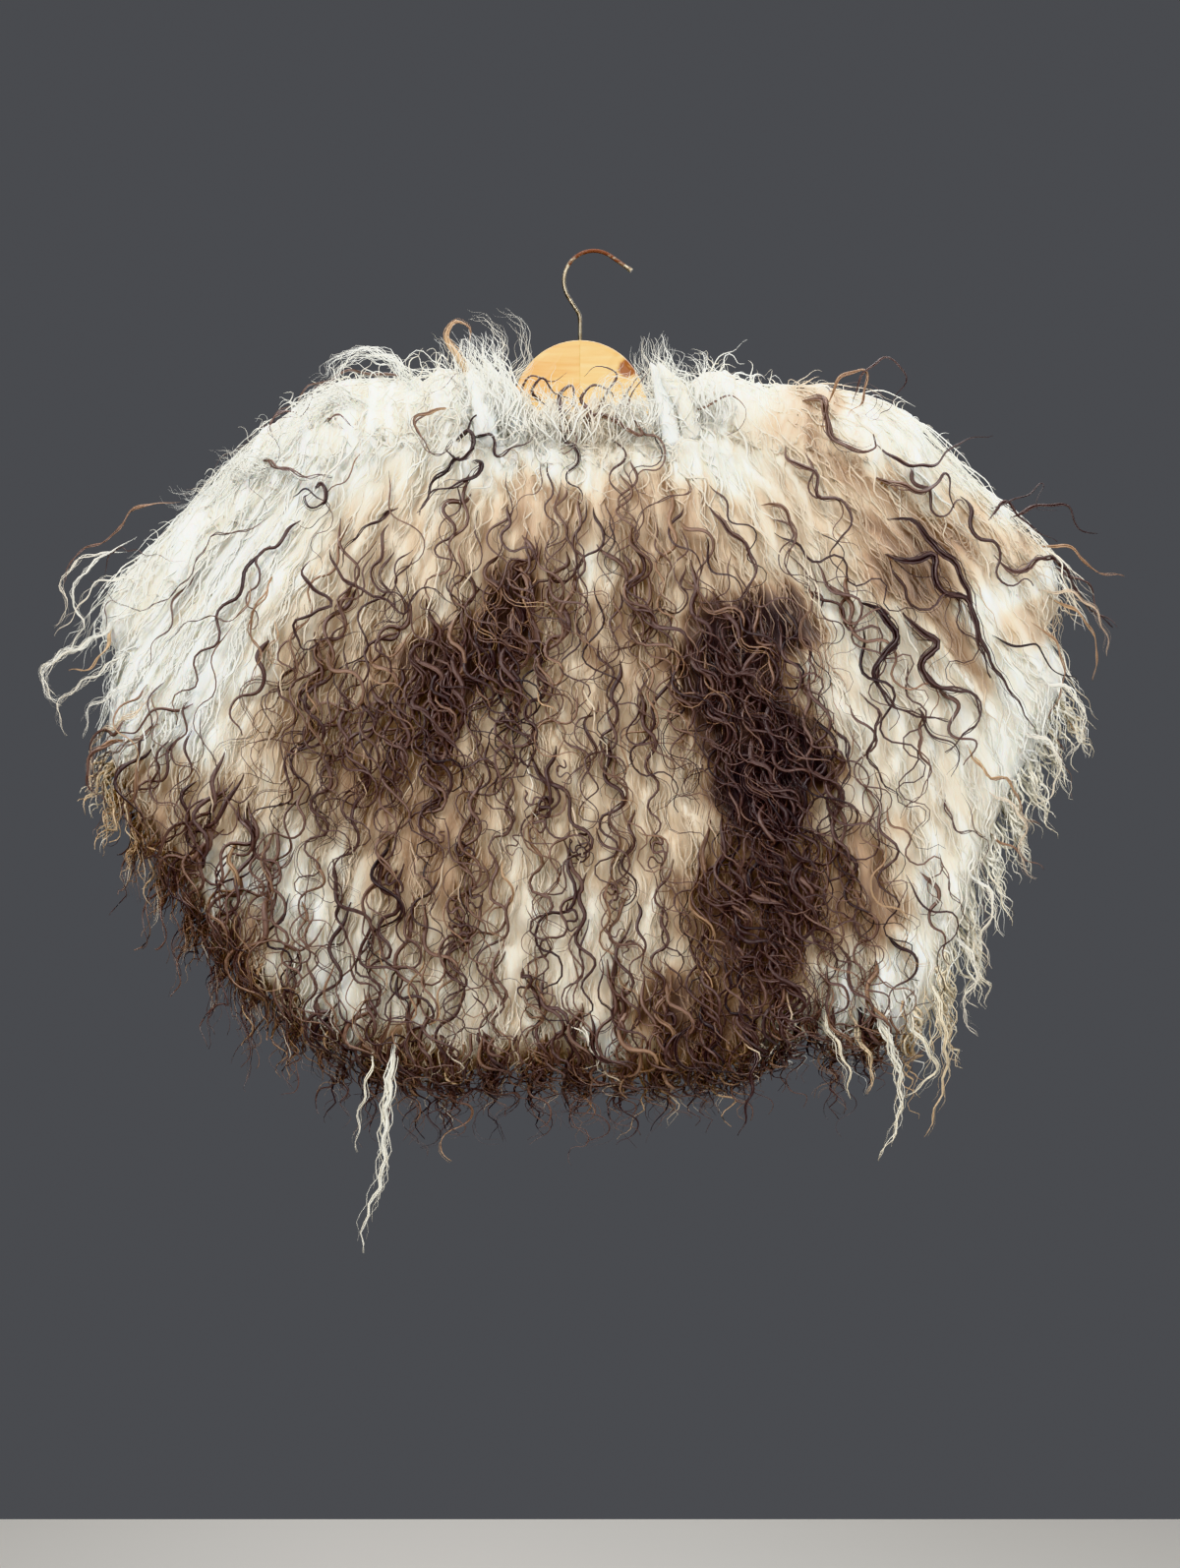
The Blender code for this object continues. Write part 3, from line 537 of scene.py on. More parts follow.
# The coloured patches as seen from the front, in metres in the hanger's plane.
# Columns: x, z, half width, half height, tilt in degrees, tone.
PATCHES = (
    (-0.010, -0.420, 0.215, 0.260, 0, 0.30),
    (0.020, -0.215, 0.140, 0.060, 0, 0.40),
    (0.200, -0.205, 0.115, 0.060, -25, 0.26),
    (0.250, -0.400, 0.070, 0.140, 10, 0.14),
    (-0.252, -0.440, 0.046, 0.085, 25, 0.05),
    (0.030, -0.632, 0.060, 0.026, 0, 0.08),
    (-0.040, -0.550, 0.110, 0.064, 0, 0.18),
    (0.000, -0.252, 0.020, 0.030, 0, 0.12),
    (-0.040, -0.165, 0.070, 0.020, 0, 0.03),
    (0.085, -0.165, 0.060, 0.022, 0, 0.04),
    (-0.160, -0.280, 0.070, 0.090, 25, 0.26),
    (-0.210, -0.380, 0.070, 0.090, -10, 0.36),
    (-0.104, -0.322, 0.092, 0.038, 40, 0.78),
    (-0.066, -0.284, 0.040, 0.030, 30, 0.78),
    (-0.140, -0.440, 0.056, 0.100, 10, 0.44),
    (0.128, -0.306, 0.052, 0.052, 0, 0.90),
    (0.112, -0.355, 0.060, 0.052, 0, 0.86),
    (0.148, -0.420, 0.048, 0.072, 0, 0.94),
    (0.136, -0.530, 0.072, 0.084, 0, 0.61),
    (0.090, -0.620, 0.056, 0.044, 0, 0.62),
    (0.230, -0.500, 0.042, 0.052, 0, 0.50),
    (0.298, -0.560, 0.042, 0.084, 15, 0.05),
    (0.255, -0.228, 0.060, 0.020, -25, 0.50),
    (0.215, -0.170, 0.060, 0.016, -25, 0.42),
    (0.262, -0.262, 0.044, 0.018, -35, 0.54),
    (0.300, -0.312, 0.016, 0.040, 15, 0.44),
    (0.180, -0.130, 0.030, 0.014, -30, 0.34),
    (0.020, -0.300, 0.040, 0.050, 0, 0.40),
    (-0.320, -0.450, 0.060, 0.050, -40, 0.34),
    (-0.326, -0.512, 0.120, 0.026, -52, 0.56),
    (-0.256, -0.610, 0.080, 0.024, -38, 0.55),
    (-0.305, -0.500, 0.020, 0.034, -20, 0.10),
    (-0.250, -0.570, 0.022, 0.026, -30, 0.14),
    (-0.130, -0.656, 0.100, 0.022, -5, 0.52),
    (0.020, -0.664, 0.100, 0.018, 0, 0.50),
    (-0.008, -0.122, 0.034, 0.020, 0, 0.24),
    (0.366, -0.290, 0.030, 0.024, 0, 0.30),
    (0.330, -0.220, 0.040, 0.020, -35, 0.34),
)


def seen_at(points):
    """Where points show in the hanger's plane, as seen from the front: x and z."""
    share = EYE_DISTANCE / (points[..., 1] + EYE_DISTANCE)
    return points[..., 0] * share, EYE[2] + (points[..., 2] - EYE[2]) * share


def ellipse_share(x, z, row):
    """How far points lie inside a tilted ellipse: 1 in its middle, 0 outside."""
    turn = math.radians(row[4])
    dx, dz = x - row[0], z - row[1]
    u = (dx * math.cos(turn) + dz * math.sin(turn)) / row[2]
    v = (-dx * math.sin(turn) + dz * math.cos(turn)) / row[3]
    return 1 - smooth_step(np.sqrt(u * u + v * v), 0.50, 1.40)


def tone_at(points):
    """The wool's tone at points, 0 white to 1 nearly black, soft at the patches' edges."""
    x, z = seen_at(points)
    # Ripples of 4 to 10 mm break up the patches' edges.
    x = x + 0.010 * np.sin(61 * z + 23 * x) + 0.004 * np.sin(170 * z)
    z = z + 0.010 * np.sin(57 * x + 1.0) + 0.005 * np.sin(190 * x)
    tone = np.full(x.shape, PLAIN_TONE)
    for row in PATCHES:
        share, dark = ellipse_share(x, z, row), row[5]
        mixed = tone + (dark - tone) * share
        tone = np.maximum(tone, dark * share) if dark > DARK_TONES_FROM else mixed
    return tone


def stream(x, z):
    """A value that stays the same along the way the wool lies, in metres across it."""
    heights = np.linspace(FAN[0][0], 0.0, LAY_STEPS)
    fan = np.interp(heights, *zip(*FAN))
    summed = np.concatenate([[0], np.cumsum((fan[1:] + fan[:-1]) / 2 * np.diff(heights))])
    level = np.interp(LAY_LEVEL_Z, heights, summed)
    return (x - SHANK_X) * np.exp(np.interp(z, heights, summed) - level)


def softened(values, reach):
    """Values averaged along the columns, so that the tables leave no creases."""
    padded = np.concatenate([values[:1]] * reach + [values] + [values[-1:]] * reach)
    window = np.hanning(2 * reach + 3)[1:-1]
    window /= window.sum()
    return sum(w * padded[k : k + len(values)] for k, w in enumerate(window))


def clump_ridges(across, down):
    """Soft ridges of matted locks, 0 to 1, each about as wide as two fingers."""
    wave = 0.35 * np.sin(2 * np.pi * (down / CLUMP_LENGTH + 9 * across))
    ridge = 0.5 + 0.5 * np.cos(2 * np.pi * (across / CLUMP_WIDTH + wave))
    row = 0.5 + 0.5 * np.sin(2 * np.pi * (down / CLUMP_LENGTH + 1.7 * np.sin(37 * across)))
    return 0.55 * ridge**0.8 + 0.45 * ridge * row


def set_values(thing, tones, lays):
    """Stores the wool's tone, and its lay: metres across the fibres, metres along, number."""
    tone = thing.data.attributes.new("tone", "FLOAT", "POINT")
    tone.data.foreach_set("value", np.clip(tones, 0, 1).astype(np.float32).ravel())
    lay = thing.data.attributes.new("lay", "FLOAT_VECTOR", "POINT")
    lay.data.foreach_set("vector", lays.astype(np.float32).ravel())


def wool_material(name, stops, streak_mm, roughness, sheen, relief, shift_share, glow):
    """Sheep's wool: fine greasy fibres, which scatter light softly and shine along a lock.

    A real fibre is 0.03 mm thick, so the streaks are drawn about a millimetre wide to show.
    """
    made, tree, shader = new_material(name)
    lay = node(tree, "Attribute", attribute_name="lay").outputs["Vector"]
    tone = node(tree, "Attribute", attribute_name="tone").outputs["Fac"]
    place = node(tree, "TexCoord").outputs["Object"]
    bend = node(tree, "TexNoise", [(place, "Vector")], Scale=LAY_BENDS_PER_METRE, Detail=3.0)
    bent = node(
        tree, "VectorMath", [(bend.outputs["Color"], 0), (lay, 2)], operation="MULTIPLY_ADD"
    )
    bent.inputs[1].default_value = (LAY_BEND, 0.0, 0.0)
    drawn = node(tree, "Mapping", [(bent, "Vector")])
    drawn.inputs["Scale"].default_value = (1000 / streak_mm, 1000 / (streak_mm * 22), 1.0)
    streaks = node(tree, "TexNoise", [(drawn, "Vector")], Scale=1.0, Detail=5.0, Roughness=0.7)
    broad = node(tree, "Mapping", [(bent, "Vector")])
    broad.inputs["Scale"].default_value = (1000 / (streak_mm * 9), 1000 / (streak_mm * 60), 1.0)
    bands = node(tree, "TexNoise", [(broad, "Vector")], Scale=1.0, Detail=3.0)
    both = node(tree, "Math", [(streaks, 0), (bands, 1)], operation="ADD")
    shift = node(
        tree, "MapRange", [(both, "Value")], From_Min=0.6, From_Max=1.4, To_Min=-shift_share,
        To_Max=shift_share,
    )
    total = node(tree, "Math", [(tone, 0), (shift, 1)], operation="ADD")
    ramp = node(tree, "ValToRGB", [(total, "Fac")])
    ramp_stops(ramp, stops)
    fibres = node(tree, "Bump", [(both, "Height")], Strength=relief, Distance=FIBRE_RELIEF)
    tree.links.new(ramp.outputs["Color"], shader.inputs["Base Color"])
    tree.links.new(fibres.outputs["Normal"], shader.inputs["Normal"])
    shader.inputs["Roughness"].default_value = roughness
    shader.inputs["Sheen Weight"].default_value = sheen
    shader.inputs["Sheen Roughness"].default_value = 0.4
    shader.inputs["Subsurface Weight"].default_value = glow
    shader.inputs["Subsurface Radius"].default_value = (1.0, 0.85, 0.7)
    shader.inputs["Subsurface Scale"].default_value = GLOW_DEPTH
    return made


# Matted wool is soft and glows a little, because light wanders between its fibres.
matted_wool = wool_material(
    "matted_wool", WOOL_TONES, streak_mm=1.4, roughness=0.85, sheen=0.30, relief=0.8,
    shift_share=0.10, glow=0.5,
)

FLEECE_COLUMNS, FLEECE_ROWS = 190, (18, 16, 96)
inner, out, places, from_middle, shares = hide_grid(FLEECE_COLUMNS, *FLEECE_ROWS)
rows = sum(FLEECE_ROWS)
fold_wool = np.interp(from_middle, *zip(*FOLD_WOOL))
deep = WOOL_BACK + (fold_wool - WOOL_BACK) * smooth_step(places, *BACK_WOOL_ENDS)
deep += (WOOL_FRONT - deep) * smooth_step(places, *FRONT_WOOL_STARTS)
width = float(np.linalg.norm(np.diff(fold_line(), axis=0), axis=1).sum())
to_side = (np.minimum(shares, 1 - shares) * width)[:, None]
to_rim = np.minimum(np.minimum(places[:, -1:] - places, places - places[:, :1]), to_side)
near_rim = 1 - np.minimum(to_rim / RIM_ROUNDING, 1)
deep = RIM_THICKNESS + (deep - RIM_THICKNESS) * np.sqrt(1 - near_rim**2)
deep = softened(deep, reach=4) - LOCK_LAYER * (1 - near_rim)
across = stream(inner[..., 0], inner[..., 2])
ridges = clump_ridges(across, places)
relief = CLUMP_HEIGHT * np.where(places < -0.02, 0.5, 1.0) * (ridges - 0.5) * (1 - near_rim)
neck = 1 - smooth_step(np.abs(from_middle), *NECK_SIDES)
teased = 0.8 + 0.2 * np.sin(210 * inner[..., 0] + 1.0) + 0.12 * np.sin(520 * inner[..., 0])
rise = NECK_RISE * neck * teased * near_rim**1.2 * (places < 0.08)
lifted = np.stack([0 * rise, -0.2 * rise, rise], axis=-1)
outer = inner + out * (deep + relief)[..., None] + lifted
under = inner + out * (HIDE_THICKNESS + WOOL_GAP)
fleece_points = np.concatenate([under.reshape(-1, 3), outer.reshape(-1, 3)])
fleece = smooth_mesh("fleece", matted_wool, fleece_points, slab_faces(FLEECE_COLUMNS, rows))
fleece_lay = np.stack([across, places, np.zeros_like(across)], axis=-1).reshape(-1, 3)
# Painted shade and painted light: the wool's tone is darkened in the grooves between the matted
# ridges and lightened on their crests.
ridge_light_and_groove_shade = np.tile((0.10 * (0.5 - ridges)).ravel(), 2)
set_values(fleece, tone_at(fleece_points) + ridge_light_and_groove_shade, np.tile(fleece_lay, (2, 1)))
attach(fleece, "root")

cad_wool = ["sheepskin"] + [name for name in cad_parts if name.startswith("locks_")]
for name in cad_wool:
    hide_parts(name)

calm = (inner + out * deep[..., None] + lifted)[::3, ::2]
calm_faces = grid_quads(calm.shape[0], calm.shape[1])[:, ::-1]
wool_tree = BVHTree.FromPolygons([Vector(p) for p in calm.reshape(-1, 3)], calm_faces.tolist())


# The pale wool: thousands of fine wisps that grow out of the hide, lie down over their neighbours
# and gather into locks, with the crimp of neighbours in step. They are white on the shoulders,
# cream to tan lower down, and a few stand off the others.

SEED = 7
ANY_START = 6.3
WISPS_EACH_SIDE = 2500
WISP_POINTS = 12
WISP_SIDES = 3
WISP_LENGTHS = (0.035, 0.095)
WISP_HALF_WIDTH = 0.00075
WISP_SWINGS = (0.0012, 0.0032)
WISP_DROOP = 0.25
WISP_LIFT = 0.0008
LOOSE_WISP_LIFT = 0.007
ROOT_OUT = 0.001
FREE_FROM_WOOL = (0.012, 0.030)
SETTLE_REACH = 0.02
STIFFNESS = 0.62
ROW_WIDTH = 0.047
CRIMP_LENGTH = 0.030
GATHER = 0.28


def surface_near(points):
    """The nearest points of the fleece and its outward ways there."""
    found = np.empty_like(points)
    ways = np.empty_like(points)
    for k, p in enumerate(points):
        spot, normal, _, _ = wool_tree.find_nearest(p)
        found[k], ways[k] = spot, normal
    return found, ways


def combed(points, normals):
    """The way in which the wool lies at points: fanned out in front, straight down behind."""
    x, z = points[:, 0] - SHANK_X, points[:, 2]
    fan = np.interp(z, *zip(*FAN))
    front = normals[:, 1] < 0.15
    way = np.zeros_like(points)
    gather = -GATHER * np.sin(2 * np.pi * stream(points[:, 0], z) / CLUMP_WIDTH)
    way[:, 0] = np.where(front, x * fan + gather, 0.5 * x)
    way[:, 1] = np.where(front, -0.35, 0.5) * np.abs(normals[:, 2])
    way[:, 2] = -1.0
    return unit(way)


def calmed(lines, passes):
    """Lines without their small kinks."""
    for _ in range(passes):
        inside = (lines[:, :-2] + 2 * lines[:, 1:-1] + lines[:, 2:]) / 4
        lines = np.concatenate([lines[:, :1], inside, lines[:, -1:]], axis=1)
    return lines


def march(roots, normals, lengths, count, lift, stand, droop, wander=0.0, seed=0):
    """Centre lines that leave their roots, turn into the comb and then lie or hang."""
    rng = np.random.default_rng(seed)
    bend_rate = rng.uniform(0.3, 1.2, (len(roots), 1))
    bend_start = rng.uniform(0, 2 * np.pi, (len(roots), 1))
    place = roots + normals * ROOT_OUT
    own = rng.normal(0, 1, (len(roots), 1)) * wander
    way = unit(combed(roots, normals) + stand * normals)
    lines, ups = [place.copy()], [normals.copy()]
    step = (lengths / (count - 1))[:, None]
    near, normal = roots, normals
    for k in range(1, count):
        height = ((place - near) * normal).sum(axis=1, keepdims=True)
        apart = np.linalg.norm(place - near, axis=1, keepdims=True)
        free = smooth_step(apart, *FREE_FROM_WOOL)
        wish = combed(place, normal)
        bend = own * np.sin(bend_start + 2 * np.pi * bend_rate * k / count)
        wish = wish + bend * unit(np.cross(normal, wish))
        leaving = (wish * normal).sum(axis=1, keepdims=True)
        turned = np.linalg.norm(normal[:, ::2], axis=1, keepdims=True)
        held = np.where(leaving > 0, 1 - smooth_step(turned, 0.75, 0.98), 1.0)
        wish = wish - normal * leaving * held * (1 - free)
        settle = np.clip((lift - height) / SETTLE_REACH, -0.5, 0.5)
        wish = wish + normal * settle * (1 - free) * held
        wish[:, 2] -= droop * (0.3 + free[:, 0])
        way = unit(STIFFNESS * way + (1 - STIFFNESS) * unit(wish))
        place = place + way * step
        near, normal = surface_near(place)
        height = ((place - near) * normal).sum(axis=1, keepdims=True)
        under = height < 0.6 * lift
        place = np.where(under, near + normal * 0.6 * lift, place)
        lines.append(place.copy())
        ups.append(normal.copy())
    lines, ups = np.stack(lines, axis=1), np.stack(ups, axis=1)
    return calmed(lines, passes=3), unit(calmed(ups, passes=6))


def side_frames(lines, ups):
    """For each point of each line, the way sideways over the wool and the way out of it."""
    tangent = unit(np.gradient(lines, axis=1))
    sideways = unit(np.cross(ups, tangent))
    return sideways, np.cross(tangent, sideways)


def crimped(lines, ups, lengths, wave_length, swing, lift_swing, phase, loop=0.0):
    """Lines with their crimp added: a wave to the sides, one up and down, and one along."""
    sideways, outward = side_frames(lines, ups)
    along_way = np.cross(sideways, outward)
    t = np.linspace(0, 1, lines.shape[1])[None, :]
    waves = (lengths / wave_length)[:, None] * (0.8 * t + 0.2 * t * t)
    turn = 2 * np.pi * waves + phase[:, None]
    grow = swing[:, None] * smooth_step(t, 0.0, 0.35)
    rise = lift_swing[:, None] * (1 + np.cos(turn)) * 0.5 * smooth_step(t, 0.0, 0.35)
    back = -grow * np.sin(2 * turn) * np.reshape(loop, (-1, 1))
    return (
        lines
        + sideways * (grow * np.sin(turn))[..., None]
        + outward * rise[..., None]
        + along_way * back[..., None]
    )


def tubes(name, material, lines, ups, half_widths, tones, sides, flatness):
    """One mesh of closed tapering tubes along lines, each with a cell of its own in the map."""
    count, points, _ = lines.shape
    sideways, outward = side_frames(lines, ups)
    turns = 2 * math.pi * np.arange(sides) / sides
    a = half_widths[..., None] * np.cos(turns)
    b = half_widths[..., None] * flatness * np.sin(turns)
    rings = (
        lines[:, :, None] + sideways[:, :, None] * a[..., None] + outward[:, :, None] * b[..., None]
    )
    run = np.linalg.norm(np.diff(lines, axis=1, prepend=lines[:, :1]), axis=2).cumsum(axis=1)
    number = np.arange(count, dtype=float)[:, None, None] * 7.3
    lays = np.stack(
        [a, np.broadcast_to(run[..., None], a.shape), np.broadcast_to(number, a.shape)], axis=-1
    )
    base = (np.arange(count) * points * sides)[:, None, None]
    ring = (np.arange(points - 1) * sides)[None, :, None]
    side = np.arange(sides)[None, None, :]
    first, second = base + ring + side, base + ring + (side + 1) % sides
    quads = np.stack([first, second, second + sides, first + sides], axis=-1).reshape(-1, 4)
    root_caps = base[:, 0] + np.arange(sides)[::-1]
    tip_caps = base[:, 0] + (points - 1) * sides + np.arange(sides)
    caps = np.concatenate([root_caps, tip_caps])
    made = smooth_mesh(name, material, rings, quads, caps, sides)

    wide = math.ceil(math.sqrt(count * 4))
    high = math.ceil(count / wide)
    column, line = np.arange(count) % wide, np.arange(count) // wide
    s = (np.arange(sides)[None, None, :] + 0.1) / (sides + 0.2)
    u0 = (column[:, None, None] + 0.05 + 0.9 * s) / wide
    u1 = u0 + 0.9 / (sides + 0.2) / wide
    v0 = (line[:, None, None] + 0.05 + 0.9 * np.arange(points - 1)[None, :, None] / points) / high
    v1 = v0 + 0.9 / points / high
    shape = (count, points - 1, sides)
    u0, u1, v0, v1 = (np.broadcast_to(value, shape) for value in (u0, u1, v0, v1))
    quad_map = np.stack(
        [np.stack([u0, u1, u1, u0], axis=-1), np.stack([v0, v0, v1, v1], axis=-1)], axis=-1
    )
    round_u = 0.5 + 0.45 * np.cos(turns)
    round_v = 0.955 + 0.015 * np.sin(turns)
    cap_map = np.stack(
        [
            np.broadcast_to((column[:, None] + round_u) / wide, (count, sides)),
            np.broadcast_to((line[:, None] + round_v) / high, (count, sides)),
        ],
        axis=-1,
    )
    layer = made.data.uv_layers.new(name="OFBake")
    flat_map = np.concatenate([part.reshape(-1, 2) for part in (quad_map, cap_map, cap_map)])
    layer.data.foreach_set("uv", flat_map.astype(np.float32).ravel())
    set_values(made, np.repeat(tones[..., None], sides, axis=2), lays)
    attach(made, "root")


def outer_roots(count, rng, keep):
    """Roots over the wool's outer face: points, outward ways, 0 at the rim to 1, and places."""
    a, b = outer[1:, 1:] - outer[:-1, :-1], outer[1:, :-1] - outer[:-1, 1:]
    size = np.linalg.norm(np.cross(a, b), axis=2)
    middle = (outer[1:, 1:] + outer[:-1, :-1]) / 2
    weight = (size * keep(middle)).ravel()
    picked = rng.choice(len(weight), count, replace=False, p=weight / weight.sum())
    points = middle.reshape(-1, 3)[picked]
    inside = smooth_step(to_rim[1:, 1:].ravel()[picked], 0.0, 0.09)
    return *surface_near(points), inside, places[1:, 1:].ravel()[picked]


# Combed wool has the same tones, and its fine fibres catch a soft shine along each wisp.
combed_wool = wool_material(
    "combed_wool", WOOL_TONES, streak_mm=1.0, roughness=0.65, sheen=0.40, relief=0.5,
    shift_share=0.06, glow=0.0,
)


def on_side(points, right):
    """1 on the wanted side of the shank, else 0."""
    return ((points[..., 0] >= SHANK_X) == right) * 1.0


for side_name, right, side_seed in (("left", False, 1), ("right", True, 2)):
    rng = np.random.default_rng(SEED + side_seed)
    count = WISPS_EACH_SIDE
    roots, normals, inside, down = outer_roots(count, rng, lambda spots: on_side(spots, right))
    lengths = rng.uniform(*WISP_LENGTHS, count) * (0.6 + 0.4 * inside)
    high = rng.uniform(0, 1, count) ** 12
    lift, stand = WISP_LIFT + LOOSE_WISP_LIFT * high[:, None], 0.03 + 0.9 * high[:, None]
    wander = 0.35 + 0.9 * (1 - inside[:, None])
    lines, ups = march(
        roots, normals, lengths, WISP_POINTS, lift, stand, WISP_DROOP, wander, seed=side_seed
    )
    crimp = CRIMP_LENGTH * rng.uniform(0.92, 1.08, count)
    across = stream(roots[:, 0], roots[:, 2])
    in_step = 2 * np.pi * down / CRIMP_LENGTH + 2.4 * np.sin(2 * np.pi * across / ROW_WIDTH)
    swing = rng.uniform(*WISP_SWINGS, count) * (2.2 - 1.2 * inside)
    start = in_step + rng.normal(0, 0.3, count)
    lines = crimped(lines, ups, lengths, crimp, swing, 0.4 * swing, start)
    t = np.linspace(0, 1, WISP_POINTS)[None, :]
    shape = (0.35 + 0.65 * smooth_step(t, 0, 0.25)) * (1 - 0.85 * t**1.8)
    half_widths = WISP_HALF_WIDTH * shape * rng.uniform(0.4, 1.7, (count, 1))
    tones = 0.5 * tone_at(lines) + 0.5 * tone_at(roots)[:, None] + rng.normal(0, 0.035, (count, 1))
    name = "wisps_" + side_name
    tubes(name, combed_wool, lines, ups, half_widths, tones, WISP_SIDES, flatness=0.6)


# The dark curls: long, thin bundles of coarser brown hair among the pale wool. They are thick and
# matted at the root and wind down over the wool in open spirals, to a fine tip. They crowd
# together in the dark spots and along the lower rim.

CURLS = 710
STRAYS = 310
BOLD_CURLS = 165
CURL_POINTS = 33
CURL_SIDES = 3
CURL_LIFT = 0.006
CURL_LENGTHS = (0.060, 0.165)
CURL_WAVES = (0.032, 0.060)
CURL_SWINGS = (0.12, 0.26)
CURL_LOOPS = (0.0, 0.35)
CURL_THINNEST = 0.0007
CURL_WIDER = 0.0024
BOLD_CURL_WIDER = 0.0034
LEAST_CROWDING = 0.05
STRAY_APART = (0.002, 0.007)
STRAY_LIFT = 0.0015
STRAY_HALF_WIDTHS = (0.0004, 0.0008)

# Where the curls grow: x, z, half width, half height, tilt in degrees, crowding.
CURL_GROUNDS = (
    (-0.020, -0.430, 0.250, 0.250, 0, 0.50),
    (0.010, -0.320, 0.080, 0.110, 0, 0.80),
    (-0.150, -0.300, 0.090, 0.080, 20, 0.50),
    (0.060, -0.240, 0.150, 0.080, 0, 0.65),
    (-0.030, -0.235, 0.100, 0.070, 0, 1.30),
    (-0.200, -0.300, 0.070, 0.080, 0, 0.50),
    (-0.104, -0.318, 0.110, 0.050, 40, 1.6),
    (0.124, -0.306, 0.056, 0.060, 0, 1.8),
    (0.150, -0.420, 0.060, 0.090, 0, 2.0),
    (0.140, -0.540, 0.100, 0.110, 0, 1.15),
    (-0.020, -0.560, 0.160, 0.080, 0, 0.60),
    (-0.150, -0.460, 0.090, 0.140, 10, 0.45),
    (-0.310, -0.470, 0.140, 0.080, -50, 1.25),
    (-0.230, -0.570, 0.110, 0.070, -35, 1.2),
    (0.000, -0.640, 0.200, 0.040, 0, 1.2),
    (0.190, -0.500, 0.060, 0.080, 0, 0.7),
)

# Where the bolder curls grow, which are the darkest places.
DARK_GROUNDS = (
    (0.120, -0.290, 0.056, 0.050, 0, 2.0),
    (0.148, -0.400, 0.050, 0.080, 0, 1.2),
    (0.146, -0.550, 0.090, 0.090, 0, 0.9),
    (-0.104, -0.305, 0.110, 0.045, 40, 1.6),
    (-0.190, -0.300, 0.090, 0.090, 0, 0.7),
    (-0.330, -0.470, 0.100, 0.060, -50, 0.6),
)

# The hair's tones: golden where the sun and wear have bleached it, then brown to nearly black.
HAIR_TONES = (
    (0.00, "FAF8EC"), (0.16, "F0E2C4"), (0.34, "D6B48C"), (0.50, "A07F66"), (0.64, "7C6257"),
    (0.78, "644F4B"), (0.90, "4D3D3C"), (1.00, "33292B"),
)

# Curly hair is coarser and smoother than wool, so it shines more and in narrower streaks.
curly_hair = wool_material(
    "curly_hair", HAIR_TONES, streak_mm=0.8, roughness=0.33, sheen=0.04, relief=0.5,
    shift_share=0.07, glow=0.0,
)


def crowding(points, grounds):
    """How densely curls grow at points, and none on the flaps behind."""
    x, z = seen_at(points)
    total = np.full(x.shape, LEAST_CROWDING)
    for row in grounds:
        total = total + row[5] * ellipse_share(x, z, row)
    return total * (points[..., 1] < 0.0)


def grow_curls(name, grounds, count, strays, wider, seed):
    """One mesh of curls that grow where the grounds say, with fine strays beside some."""
    rng = np.random.default_rng(SEED + seed)
    roots, normals, inside, _ = outer_roots(count, rng, lambda points: crowding(points, grounds))
    lengths = rng.uniform(*CURL_LENGTHS, count) * (0.5 + 0.5 * inside)
    lines, ups = march(
        roots, normals, lengths, CURL_POINTS, lift=CURL_LIFT, stand=0.6, droop=0.35, wander=0.8,
        seed=seed,
    )
    wave_length = rng.uniform(*CURL_WAVES, count)
    swing = wave_length * rng.uniform(*CURL_SWINGS, count)
    start, loop = rng.uniform(0, 2 * np.pi, count), rng.uniform(*CURL_LOOPS, count)
    lines = crimped(lines, ups, lengths, wave_length, swing, 0.8 * swing, start, loop)
    t = np.linspace(0, 1, CURL_POINTS)[None, :]
    taper = (0.2 + 0.8 * smooth_step(t, 0, 0.15)) * (1 - 0.82 * t**0.8)
    half_widths = taper * (CURL_THINNEST + wider * rng.uniform(0, 1, (count, 1)) ** 1.6)
    darkness = 0.73 + 0.13 * smooth_step(tone_at(roots)[:, None], 0.25, 0.85)
    tones = darkness + rng.normal(0, 0.10, (count, 1)) + rng.normal(0, 0.18, (count, 1)) * (t - 0.4)
    tones = np.clip(tones, 0.42, 1.0)
    sideways, outward = side_frames(lines, ups)
    beside = rng.choice(count, strays)
    apart = rng.uniform(*STRAY_APART, (strays, 1)) * t
    turn = rng.uniform(0, ANY_START, (strays, 1)) + 3 * t
    stray_lines = (
        lines[beside]
        + sideways[beside] * (apart * np.sin(turn))[..., None]
        + outward[beside] * (STRAY_LIFT + 0.6 * apart * np.cos(turn))[..., None]
    )
    lines = np.concatenate([lines, stray_lines])
    ups = np.concatenate([ups, ups[beside]])
    stray_widths = taper * rng.uniform(*STRAY_HALF_WIDTHS, (strays, 1))
    half_widths = np.concatenate([half_widths, stray_widths])
    tones = np.concatenate([tones, tones[beside] - 0.06])
    tubes(name, curly_hair, lines, ups, half_widths, tones, CURL_SIDES, flatness=0.5)


grow_curls("dark_curls", CURL_GROUNDS, CURLS, STRAYS, CURL_WIDER, seed=3)
grow_curls("bold_curls", DARK_GROUNDS, BOLD_CURLS, 0, BOLD_CURL_WIDER, seed=15)


# The ringlets: short locks of the same brown hair in the middle of the lower part, which have
# wound up tightly and stand off the wool a little.

RINGLETS = 26
RINGLET_POINTS = 30
RINGLET_LENGTHS = (0.016, 0.028)
RINGLET_WAVES = (0.012, 0.017)
RINGLET_SWINGS = (0.0040, 0.0060)
RINGLET_LOOP = 0.5
RINGLET_HALF_WIDTH = 0.0013
RINGLET_TONES = (0.66, 0.92)
RINGLET_GROUND = (-0.010, -0.510, 0.130, 0.100, 0, 1.0)


def ringlet_share(points):
    """How densely ringlets grow at points."""
    return ellipse_share(*seen_at(points), RINGLET_GROUND) * (points[..., 1] < 0)


